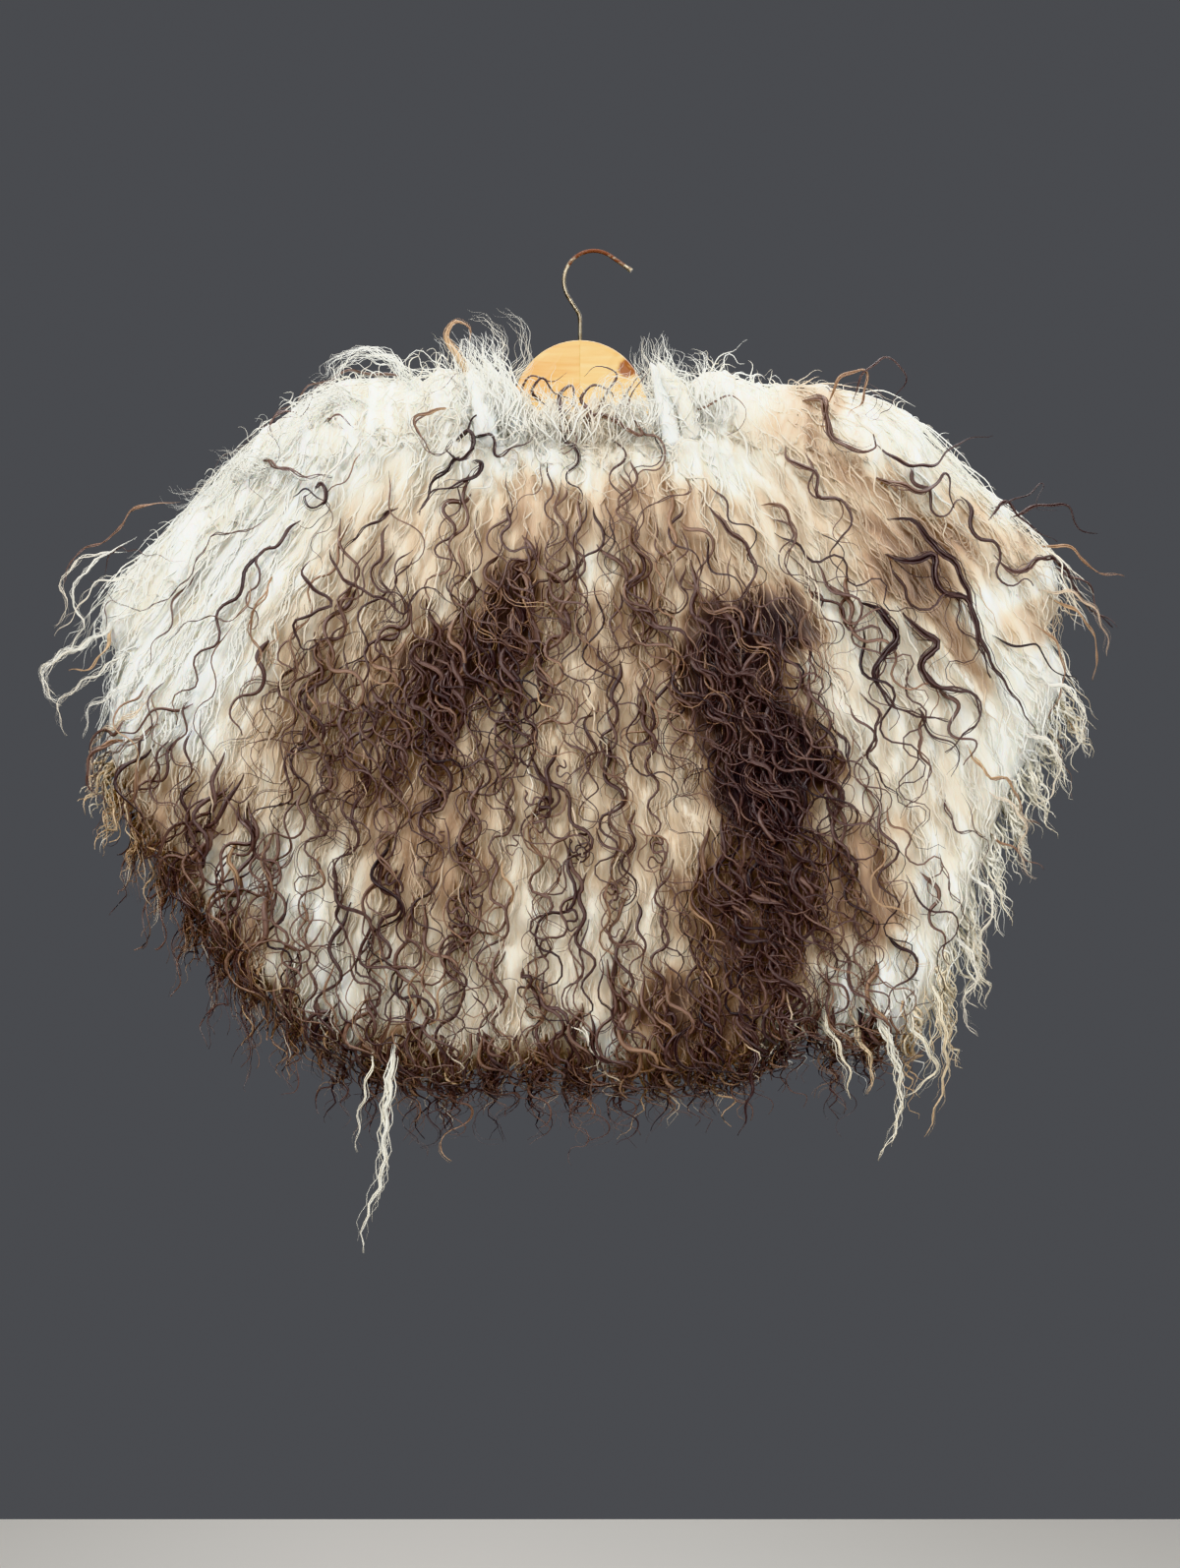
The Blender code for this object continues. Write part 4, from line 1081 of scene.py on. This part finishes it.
rng = np.random.default_rng(SEED + 13)
roots, normals, _, _ = outer_roots(RINGLETS, rng, ringlet_share)
lengths = rng.uniform(*RINGLET_LENGTHS, RINGLETS)
lines, ups = march(
    roots, normals, lengths, RINGLET_POINTS, lift=0.010, stand=0.9, droop=0.1, wander=1.2, seed=13
)
wave_length = rng.uniform(*RINGLET_WAVES, RINGLETS)
swing = rng.uniform(*RINGLET_SWINGS, RINGLETS)
start = rng.uniform(0, 2 * np.pi, RINGLETS)
lines = crimped(lines, ups, lengths, wave_length, swing, 0.8 * swing, start, RINGLET_LOOP)
t = np.linspace(0, 1, RINGLET_POINTS)[None, :]
swollen = 0.4 + 0.6 * np.sin(np.pi * t**0.6)
half_widths = RINGLET_HALF_WIDTH * swollen * rng.uniform(0.6, 1.4, (RINGLETS, 1))
tones = rng.uniform(*RINGLET_TONES, (RINGLETS, 1)) + 0 * t
tubes("ringlets", curly_hair, lines, ups, half_widths, tones, CURL_SIDES, flatness=0.7)


# The locks at the rim: where the wool ends, its locks hang free and close to thin tips. They are
# dark and frizzy along the lower left and the bottom, and white to golden on the right.

RIM_LOCKS = 640
RIM_POINTS = 16
RIM_ROWS = 9
RIM_WAVES = (0.018, 0.034)
RIM_SWINGS = (0.12, 0.28)
RIM_HALF_WIDTH = 0.0018

# Tone of the rim's locks along the lower edge, from the left wing to the right: share, tone.
RIM_TONES = (
    (0.00, 0.10), (0.07, 0.34), (0.13, 0.56), (0.22, 0.68), (0.36, 0.76), (0.50, 0.66),
    (0.58, 0.62), (0.64, 0.84), (0.68, 0.78), (0.71, 0.24), (0.78, 0.05), (0.86, 0.01),
    (0.95, 0.04), (1.00, 0.12),
)

# How far the rim's locks reach past the wool along the lower edge: share, length.
RIM_LENGTHS = ((0.0, 0.040), (0.10, 0.038), (0.3, 0.050), (0.6, 0.058), (0.8, 0.050), (1.0, 0.040))

rng = np.random.default_rng(SEED + 4)
share = np.sort(rng.uniform(0.004, 0.996, RIM_LOCKS))
column = (share * (FLEECE_COLUMNS - 1)).astype(int)
row = rows - 1 - rng.integers(0, RIM_ROWS, RIM_LOCKS)
roots, normals = surface_near(outer[column, row])
lengths = np.interp(share, *zip(*RIM_LENGTHS)) * rng.uniform(0.6, 1.35, RIM_LOCKS)
lines, ups = march(
    roots, normals, lengths, RIM_POINTS, lift=0.004, stand=0.2, droop=0.35, wander=0.6, seed=4
)
wave_length = rng.uniform(*RIM_WAVES, RIM_LOCKS)
swing = wave_length * rng.uniform(*RIM_SWINGS, RIM_LOCKS)
start = rng.uniform(0, ANY_START, RIM_LOCKS)
lines = crimped(lines, ups, lengths, wave_length, swing, swing, start)
t = np.linspace(0, 1, RIM_POINTS)[None, :]
half_widths = RIM_HALF_WIDTH * (1 - 0.85 * t) * rng.uniform(0.3, 1.4, (RIM_LOCKS, 1))
tones = np.interp(share, *zip(*RIM_TONES))[:, None]
tones = tones + rng.normal(0, 1, (RIM_LOCKS, 1)) * (0.02 + 0.18 * tones) + 0.05 * t
tubes("rim_locks", curly_hair, lines, ups, half_widths, tones, CURL_SIDES, flatness=0.55)


# The fluff at the neck: short, loose, teased-out wool that rises from the hide's edge before the
# hanger's head and at the two tufts beside it, and on the crest over both arms.

FLUFF = 1000
FLUFF_POINTS = 12
FLUFF_SIDES = 3
FLUFF_AT_HEAD = 0.05
FLUFF_SPREAD = 0.060
FLUFF_REACH = 0.34
FLUFF_BAND = 0.040
FLUFF_WAVES = (0.012, 0.030)
FLUFF_SWINGS = (0.001, 0.004)
FLUFF_HALF_WIDTH = 0.0005

# Rows: distance from the middle, height of the fluff.
FLUFF_HEIGHTS = (
    (-0.35, 0.008), (-0.25, 0.014), (-0.17, 0.022), (-0.10, 0.040), (-0.075, 0.044),
    (-0.055, 0.034), (0.0, 0.026), (0.050, 0.034), (0.072, 0.048), (0.095, 0.026), (0.20, 0.014),
    (0.35, 0.008),
)

rng = np.random.default_rng(SEED + 10)
from_shank = np.where(
    rng.uniform(0, 1, FLUFF) < FLUFF_AT_HEAD,
    rng.normal(0, FLUFF_SPREAD, FLUFF),
    rng.uniform(-FLUFF_REACH, FLUFF_REACH, FLUFF),
)
column = np.abs(from_middle[:, 0][None, :] - from_shank[:, None]).argmin(axis=1)
wanted = np.maximum(places[column, :1], -0.01) + rng.uniform(0, FLUFF_BAND, (FLUFF, 1))
row = np.abs(places[column] - wanted).argmin(axis=1)
roots, normals = surface_near(outer[column, row])
lengths = np.interp(from_shank, *zip(*FLUFF_HEIGHTS)) * rng.uniform(0.4, 1.3, FLUFF)
lean = rng.normal(0, 0.6, FLUFF) + 1.5 * from_shank
way = unit(np.stack([lean, rng.normal(-0.35, 0.3, FLUFF), np.ones(FLUFF)], axis=1))
t = np.linspace(0, 1, FLUFF_POINTS)
lines = roots[:, None] + (way * lengths[:, None])[:, None] * t[None, :, None]
curl_over = rng.uniform(0.0, 1.1, FLUFF) * lengths
lines[..., 2] -= curl_over[:, None] * t**2.5
lines[..., 0] += (np.sign(way[:, 0]) * curl_over * 0.6)[:, None] * t**2
ups = np.broadcast_to(np.array((0.0, -1.0, 0.0)), lines.shape)
wave_length = rng.uniform(*FLUFF_WAVES, FLUFF)
swing = rng.uniform(*FLUFF_SWINGS, FLUFF)
start = rng.uniform(0, ANY_START, FLUFF)
lines = crimped(lines, ups, lengths, wave_length, swing, swing, start)
half_widths = FLUFF_HALF_WIDTH * (1.15 - t)[None, :] * rng.uniform(0.4, 1.6, (FLUFF, 1))
tones = 0.8 * tone_at(roots)[:, None] + rng.normal(0.02, 0.05, (FLUFF, 1)) + 0.04 * t[None, :]
tubes("neck_fluff", combed_wool, lines, ups, half_widths, tones, FLUFF_SIDES, flatness=1.0)


# The locks that catch the eye: tufts beside the hanger's head, bold brown waves on the right
# shoulder, rings and long single curls on the left, and the pale locks that hang below the rim.
# Each follows a route of its own over the wool, in pixels of the front view.

HOOK_PX = (600.0, 264.5)
PLACED_LIFT = 0.013
ROOT_LIFT = -0.003
POINTS_PER_CORNER = 4
CORE_SIDES = 12
STRAY_REACH = 0.003
WAVE_LENGTH = 0.024
LOCK_FULLNESS = 0.72
CORE_APART = 0.42
FORWARD = Vector((0, -1.5, 0))

# The strands' half widths as shares of the lock's: of one core or three, and of finer strands
# beside cores or on their own.
CORE_SHARES = {1: 0.85, 3: 0.44}
STRAY_SHARE = (0.09, 0.20)
LOOSE_SHARE = (0.025, 0.065)

# Rows: tone at the root, tone at the tip, half width in pixels, strands, route.
SHOULDER_WAVES = (
    (0.60, 0.90, 4.5, 4, (
        (797, 450), (800, 475), (825, 485), (830, 510), (855, 515), (860, 540), (840, 565),
        (855, 590),
    )),
    (0.70, 0.88, 5.0, 4, ((715, 510), (735, 540), (760, 565), (765, 585), (750, 610), (705, 615))),
    (0.95, 0.85, 6.5, 5, (
        (890, 530), (920, 535), (940, 560), (960, 575), (975, 605), (985, 640), (1000, 675),
        (1025, 710), (1045, 745),
    )),
    (0.90, 0.90, 8.0, 6, (
        (890, 560), (915, 575), (940, 570), (945, 600), (975, 615), (985, 650), (1000, 690),
    )),
    (0.97, 0.80, 7.5, 6, (
        (865, 610), (890, 625), (905, 650), (885, 680), (900, 715), (940, 730), (960, 733),
    )),
    (0.88, 0.85, 7.5, 6, (
        (910, 615), (925, 640), (945, 655), (930, 680), (950, 700), (980, 705), (990, 725),
        (970, 750), (955, 765),
    )),
    (0.75, 0.95, 6.0, 5, (
        (1005, 560), (1020, 585), (1050, 572), (1070, 585), (1085, 615), (1115, 640),
    )),
    (0.80, 0.92, 3.5, 3, ((1000, 535), (1010, 520), (1030, 540), (1060, 560))),
    (0.55, 0.76, 8.0, 6, ((810, 410), (832, 420), (840, 450), (860, 465), (885, 462), (880, 450))),
    (0.80, 0.95, 4.0, 3, ((885, 450), (905, 475), (940, 480), (960, 465), (995, 457))),
    (0.55, 0.90, 5.5, 4, ((880, 485), (910, 500), (935, 505), (950, 490), (960, 522))),
    (0.70, 0.92, 2.5, 2, ((862, 420), (872, 395), (890, 382), (910, 400), (900, 420), (880, 440))),
    (0.50, 0.55, 4.0, 3, ((838, 418), (850, 400), (870, 395), (872, 415), (855, 435))),
    (0.92, 0.95, 2.0, 2, ((1000, 520), (1030, 515), (1045, 505), (1040, 530), (1060, 530))),
    (0.80, 0.95, 4.0, 3, ((1020, 530), (1050, 525), (1070, 525), (1085, 550), (1100, 550))),
    (0.42, 0.55, 4.0, 3, ((1050, 556), (1075, 566), (1095, 585), (1125, 590))),
    (0.40, 0.52, 3.5, 3, ((1062, 606), (1085, 630), (1100, 655), (1097, 690))),
    (0.40, 0.50, 3.0, 3, ((1045, 630), (1060, 655), (1070, 690), (1055, 730))),
    (0.20, 0.35, 3.5, 3, ((1080, 700), (1070, 725), (1085, 745))),
    (0.55, 0.80, 4.5, 4, ((770, 515), (790, 520), (805, 550), (795, 580), (820, 600))),
    (0.60, 0.80, 2.5, 2, ((695, 485), (700, 505), (660, 520), (645, 540), (660, 570), (685, 580))),
)
LEFT_CURLS = (
    (0.45, 0.88, 4.0, 4, ((465, 415), (425, 437), (435, 462), (455, 470), (465, 455))),
    (0.95, 0.90, 2.5, 2, ((465, 455), (480, 440), (492, 420), (510, 405))),
    (0.95, 0.75, 3.5, 3, ((475, 450), (497, 452), (507, 470), (527, 462), (550, 450))),
    (0.97, 0.85, 4.5, 5, ((470, 465), (462, 480), (450, 490), (440, 505), (430, 530))),
    (0.90, 0.95, 5.0, 6, ((462, 452), (478, 448), (484, 462), (470, 472), (458, 464), (466, 455))),
    (0.92, 0.86, 5.0, 5, ((478, 470), (490, 478), (482, 492), (462, 500), (440, 510), (428, 528))),
    (0.86, 0.92, 4.5, 5, ((318, 500), (334, 500), (338, 516), (324, 520), (316, 510), (326, 505))),
    (0.85, 0.92, 3.5, 3, ((410, 515), (385, 535), (360, 555), (350, 580))),
    (0.90, 0.90, 2.0, 2, ((295, 510), (320, 505), (340, 520), (325, 540), (300, 535))),
    (0.70, 0.85, 2.2, 2, (
        (285, 520), (260, 545), (225, 550), (212, 570), (205, 585), (145, 622), (105, 595),
    )),
    (0.85, 0.75, 1.6, 2, ((105, 595), (125, 575), (165, 570), (200, 577))),
    (0.40, 0.80, 2.2, 2, ((255, 595), (262, 610), (250, 630), (215, 632), (190, 645), (172, 670))),
    (0.45, 0.60, 3.5, 3, ((280, 580), (275, 610), (260, 635), (270, 670), (255, 700))),
    (0.80, 0.88, 4.0, 3, (
        (320, 565), (312, 590), (330, 605), (340, 615), (305, 635), (310, 660), (340, 650),
        (370, 645),
    )),
    (0.75, 0.88, 3.5, 3, (
        (335, 550), (345, 580), (365, 600), (390, 610), (415, 625), (430, 600), (455, 610),
        (475, 630),
    )),
    (0.60, 0.75, 4.5, 4, ((265, 465), (290, 480), (320, 490), (345, 490))),
    (0.55, 0.75, 3.0, 3, ((330, 432), (350, 432), (365, 442))),
    (0.80, 0.70, 3.0, 3, ((310, 420), (290, 435), (285, 455))),
    (0.50, 0.65, 3.0, 3, ((185, 510), (150, 530), (130, 555), (90, 575), (80, 600))),
    (0.25, 0.40, 3.5, 3, ((115, 630), (120, 655), (105, 680), (85, 685))),
    (0.50, 0.74, 5.0, 4, ((135, 750), (110, 760), (102, 790), (120, 812))),
)
WING_WISPS = (
    (0.05, 0.12, 3.1, 9, ((105, 640), (80, 670), (60, 680), (60, 700), (75, 720))),
    (0.02, 0.15, 2.4, 9, (
        (140, 545), (105, 585), (88, 610), (100, 640), (80, 668), (62, 690), (70, 712),
    )),
    (0.02, 0.10, 2.8, 10, (
        (155, 600), (120, 640), (100, 660), (75, 668), (60, 690), (58, 705), (78, 714),
    )),
    (0.02, 0.18, 2.5, 9, ((150, 640), (122, 680), (92, 700), (72, 720), (82, 745))),
    (0.02, 0.12, 2.4, 9, ((155, 670), (130, 705), (105, 722), (100, 748))),
    (0.05, 0.25, 2.1, 5, ((130, 560), (100, 575), (78, 600), (84, 625), (70, 640))),
    (0.25, 0.45, 2.8, 5, ((165, 700), (132, 735), (112, 750), (104, 775), (112, 800))),
    (0.60, 0.80, 2.8, 5, ((170, 730), (140, 755), (118, 770), (108, 800), (125, 825))),
    (0.03, 0.20, 2.4, 5, ((155, 590), (115, 600), (92, 628), (72, 650))),
    (0.28, 0.45, 2.4, 8, ((1050, 600), (1085, 612), (1106, 640), (1112, 665))),
    (0.04, 0.16, 3.1, 9, ((1050, 690), (1080, 705), (1088, 740), (1070, 770))),
    (0.04, 0.20, 3.1, 9, ((1030, 740), (1062, 760), (1058, 800), (1038, 820))),
    (0.25, 0.42, 2.4, 8, ((1000, 800), (1030, 830), (1026, 870), (1042, 890))),
    (0.04, 0.22, 3.1, 9, ((980, 880), (1000, 915), (988, 950), (1000, 980))),
    (0.04, 0.18, 3.1, 9, ((965, 940), (984, 985), (970, 1020), (984, 1050))),
)
CREST_LOCKS = (
    (0.00, 0.04, 13.0, 28, (
        (385, 425), (345, 412), (320, 425), (305, 446), (277, 458), (285, 468),
    )),
    (0.00, 0.04, 13.0, 28, (
        (430, 405), (400, 385), (375, 378), (352, 388), (340, 405), (322, 412),
    )),
    (0.02, 0.06, 9.0, 16, ((285, 487), (262, 484), (245, 476), (230, 467))),
    (0.00, 0.04, 11.0, 22, ((300, 470), (262, 478), (226, 502), (198, 520), (180, 508))),
)
TUFT_CORES = (
    (0.00, 0.00, 19.0, 1, ((496, 455), (491, 428), (483, 405), (474, 390), (469, 378))),
    (0.00, 0.00, 19.0, 1, ((514, 455), (507, 428), (499, 405), (491, 390), (486, 380))),
    (0.00, 0.00, 15.0, 1, ((530, 455), (522, 430), (514, 412), (506, 394))),
    (0.00, 0.00, 15.0, 1, ((684, 455), (680, 428), (675, 402), (670, 380))),
    (0.00, 0.00, 16.0, 1, ((704, 448), (698, 420), (687, 396), (678, 380))),
)
NECK_TUFTS = (
    (0.00, 0.03, 26.0, 60, ((498, 452), (490, 424), (478, 398), (466, 378), (455, 354))),
    (0.00, 0.03, 26.0, 60, ((514, 452), (508, 424), (497, 398), (486, 378), (478, 352))),
    (0.02, 0.05, 22.0, 50, ((532, 456), (526, 436), (518, 418), (506, 392))),
    (0.06, 0.10, 22.0, 44, ((556, 458), (554, 438), (548, 420), (534, 404))),
    (0.10, 0.06, 22.0, 34, ((580, 460), (580, 440), (574, 420), (562, 402))),
    (0.16, 0.10, 22.0, 34, ((604, 460), (606, 440), (610, 420), (624, 404))),
    (0.08, 0.04, 22.0, 38, ((632, 458), (634, 438), (630, 416), (640, 398))),
    (0.02, 0.04, 22.0, 44, ((658, 456), (660, 434), (656, 412), (648, 392))),
    (0.00, 0.03, 22.0, 60, ((684, 450), (680, 420), (672, 390), (664, 354))),
    (0.00, 0.03, 24.0, 46, ((706, 444), (699, 416), (687, 392), (676, 370))),
    (0.00, 0.03, 22.0, 36, ((730, 436), (722, 414), (710, 398), (696, 384))),
    (0.05, 0.10, 10.0, 8, ((508, 400), (524, 372), (520, 346), (496, 334))),
    (0.05, 0.10, 10.0, 8, ((500, 390), (508, 362), (490, 340), (468, 336))),
    (0.05, 0.10, 10.0, 6, ((515, 410), (532, 388), (526, 355))),
)
NECK_CURLS = (
    (0.12, 0.55, 7.5, 5, ((486, 405), (464, 380), (452, 356), (460, 344), (474, 350), (474, 364))),
    (0.60, 0.66, 4.5, 4, ((575, 435), (610, 432), (650, 452), (642, 420), (672, 385))),
    (0.80, 0.85, 5.2, 4, ((585, 445), (572, 432), (570, 412), (578, 408), (581, 425), (572, 434))),
    (0.75, 0.85, 3.9, 3, ((560, 418), (546, 412), (556, 400), (562, 412), (580, 418))),
    (0.70, 0.80, 3.9, 3, ((600, 440), (612, 415), (622, 396), (606, 390), (592, 400))),
    (0.62, 0.76, 3.3, 3, ((527, 410), (545, 398), (562, 404), (575, 395))),
    (0.70, 0.80, 4.5, 4, ((590, 450), (600, 430), (590, 418), (604, 408), (618, 416), (612, 430))),
    (0.60, 0.72, 3.9, 3, ((640, 450), (630, 430), (640, 415), (654, 400), (650, 388))),
    (0.60, 0.70, 2.7, 2, ((695, 420), (715, 424), (740, 414), (755, 425), (748, 445), (735, 450))),
)
HANGING_TIPS = (
    (0.00, 0.03, 7.0, 9, (
        (402, 1050), (400, 1090), (395, 1130), (390, 1190), (372, 1240), (370, 1268),
    )),
    (0.02, 0.06, 3.0, 4, ((382, 1055), (378, 1088), (368, 1130), (366, 1165))),
    (0.00, 0.10, 6.0, 9, ((880, 1000), (895, 1040), (910, 1085), (905, 1150), (890, 1172))),
    (0.02, 0.12, 5.0, 8, ((915, 1000), (925, 1040), (945, 1080), (915, 1110))),
    (0.06, 0.32, 4.5, 8, ((945, 985), (950, 1030), (955, 1080), (938, 1150))),
    (0.06, 0.16, 4.5, 7, ((835, 1000), (840, 1035), (862, 1085), (862, 1110))),
    (0.16, 0.34, 4.0, 6, ((862, 1010), (872, 1050), (885, 1080), (880, 1105))),
    (0.85, 0.95, 5.0, 4, ((770, 1045), (765, 1080), (760, 1115), (752, 1148))),
    (0.80, 0.88, 3.5, 3, ((870, 700), (890, 730), (880, 765), (900, 800), (920, 820))),
    (0.60, 0.72, 3.5, 3, ((940, 720), (930, 760), (940, 785), (910, 830))),
    (0.88, 0.92, 4.0, 3, ((840, 730), (860, 765), (855, 800), (840, 830))),
    (0.75, 0.85, 3.0, 3, ((960, 800), (965, 840), (995, 847))),
    (0.70, 0.85, 2.5, 2, ((955, 860), (960, 900), (975, 945), (970, 960))),
    (0.35, 0.55, 3.5, 3, ((980, 750), (995, 785), (1020, 795), (1030, 825), (1045, 835))),
    (0.45, 0.70, 3.0, 3, ((1005, 845), (1020, 860), (1050, 880))),
    (0.06, 0.12, 3.5, 3, ((1040, 795), (1022, 835), (1015, 860), (1005, 855), (1000, 830))),
)


def on_wool(spots):
    """Points on the wool where pixels of the front view show it, and the ways out of it."""
    points, ways = [], []
    level = None
    for px, py in spots:
        x, z = (px - HOOK_PX[0]) * METRES_PER_PX, (HOOK_PX[1] - py) * METRES_PER_PX
        aim = Vector((x, 0, z)) - Vector(EYE)
        hit, normal, _, _ = wool_tree.ray_cast(Vector(EYE), aim.normalized())
        if hit is None:
            near, normal, _, _ = wool_tree.find_nearest(Vector((x, 0, z)))
            level = near.y if level is None else level
            hit = Vector(EYE) + aim * ((level + EYE_DISTANCE) / EYE_DISTANCE)
        level = hit.y
        way = (Vector(normal) + FORWARD).normalized()
        points.append(hit + way * (PLACED_LIFT if points else ROOT_LIFT))
        ways.append(way)
    return np.array(points), np.array(ways)


def placed_locks(name, table, material, seed, cores, wave_height, sides):
    """Locks along given routes: a few full strands each, and finer ones that stray from them."""
    rng = np.random.default_rng(seed)
    longest = max(len(row[4]) for row in table) * POINTS_PER_CORNER
    at = np.linspace(0, 1, longest)
    lines, ups, half_widths, tones = [], [], [], []
    for root_tone, tip_tone, half_px, strands, route in table:
        points, ways = on_wool(route)
        line = along(points, at)
        run = np.linalg.norm(np.diff(line, axis=0, prepend=line[:1]), axis=1).cumsum()
        knots = np.linalg.norm(np.diff(points, axis=0, prepend=points[:1]), axis=1).cumsum()
        up = unit(np.stack([np.interp(at, knots / knots[-1], way) for way in ways.T], axis=1))
        sideways, outward = (value[0] for value in side_frames(line[None], up[None]))
        half = LOCK_FULLNESS * half_px * METRES_PER_PX
        taper = (0.06 + 0.94 * smooth_step(at, 0, 0.24)) * (1 - 0.88 * at**1.6)
        for k in range(strands):
            core = k < cores
            thin = STRAY_SHARE if cores else LOOSE_SHARE
            size = half * (CORE_SHARES[cores] if core else rng.uniform(*thin))
            turn = 2 * math.pi * (k / max(cores, 1) if core else rng.uniform(0, 1))
            twist = turn + 2 * np.pi * at * (0.5 if core else rng.uniform(-0.6, 1.2))
            reach = CORE_APART * half * taper * (cores > 1)
            if not core:
                closing = 0.4 + 0.6 * taper if cores else 1.0
                reach = half * rng.uniform(0.3, 1.1) * closing + STRAY_REACH * at**2
            side = reach * np.cos(twist)
            wave = wave_height * np.sin(2 * np.pi * (run / WAVE_LENGTH + rng.uniform(0, 0.3)))
            side = side + wave * smooth_step(at, 0, 0.3)
            strand = line if core else along(points, at * rng.uniform(0.7, 1.0))
            lines.append(
                strand + sideways * side[:, None] + outward * (0.6 * reach * np.sin(twist))[:, None]
            )
            ups.append(up)
            half_widths.append(size * (taper if cores != 1 else 1 - at**5))
            tones.append(root_tone + (tip_tone - root_tone) * at + rng.normal(0, 0.03))
    arrays = (np.array(value) for value in (lines, ups, half_widths, tones))
    lines, ups, half_widths, tones = arrays
    tubes(name, material, lines, ups, half_widths, tones, sides, flatness=0.6)


# Rows: name, table, material, seed, full strands in each lock, height of its waves, sides.
for name, table, material, seed, cores, wave_height, sides in (
    ("shoulder_waves", SHOULDER_WAVES, curly_hair, 5, 3, 0.0010, CURL_SIDES),
    ("left_curls", LEFT_CURLS, curly_hair, 6, 3, 0.0014, CURL_SIDES),
    ("wing_wisps", WING_WISPS, combed_wool, 14, 3, 0.0022, CURL_SIDES),
    ("crest_locks", CREST_LOCKS, combed_wool, 16, 0, 0.0026, CURL_SIDES),
    ("tuft_cores", TUFT_CORES, matted_wool, 11, 1, 0.0, CORE_SIDES),
    ("neck_tufts", NECK_TUFTS, combed_wool, 7, 0, 0.0020, CURL_SIDES),
    ("neck_curls", NECK_CURLS, curly_hair, 12, 3, 0.0, CURL_SIDES),
    ("hanging_tips", HANGING_TIPS, curly_hair, 8, 3, 0.0018, CURL_SIDES),
):
    placed_locks(name, table, material, SEED + seed, cores, wave_height, sides)
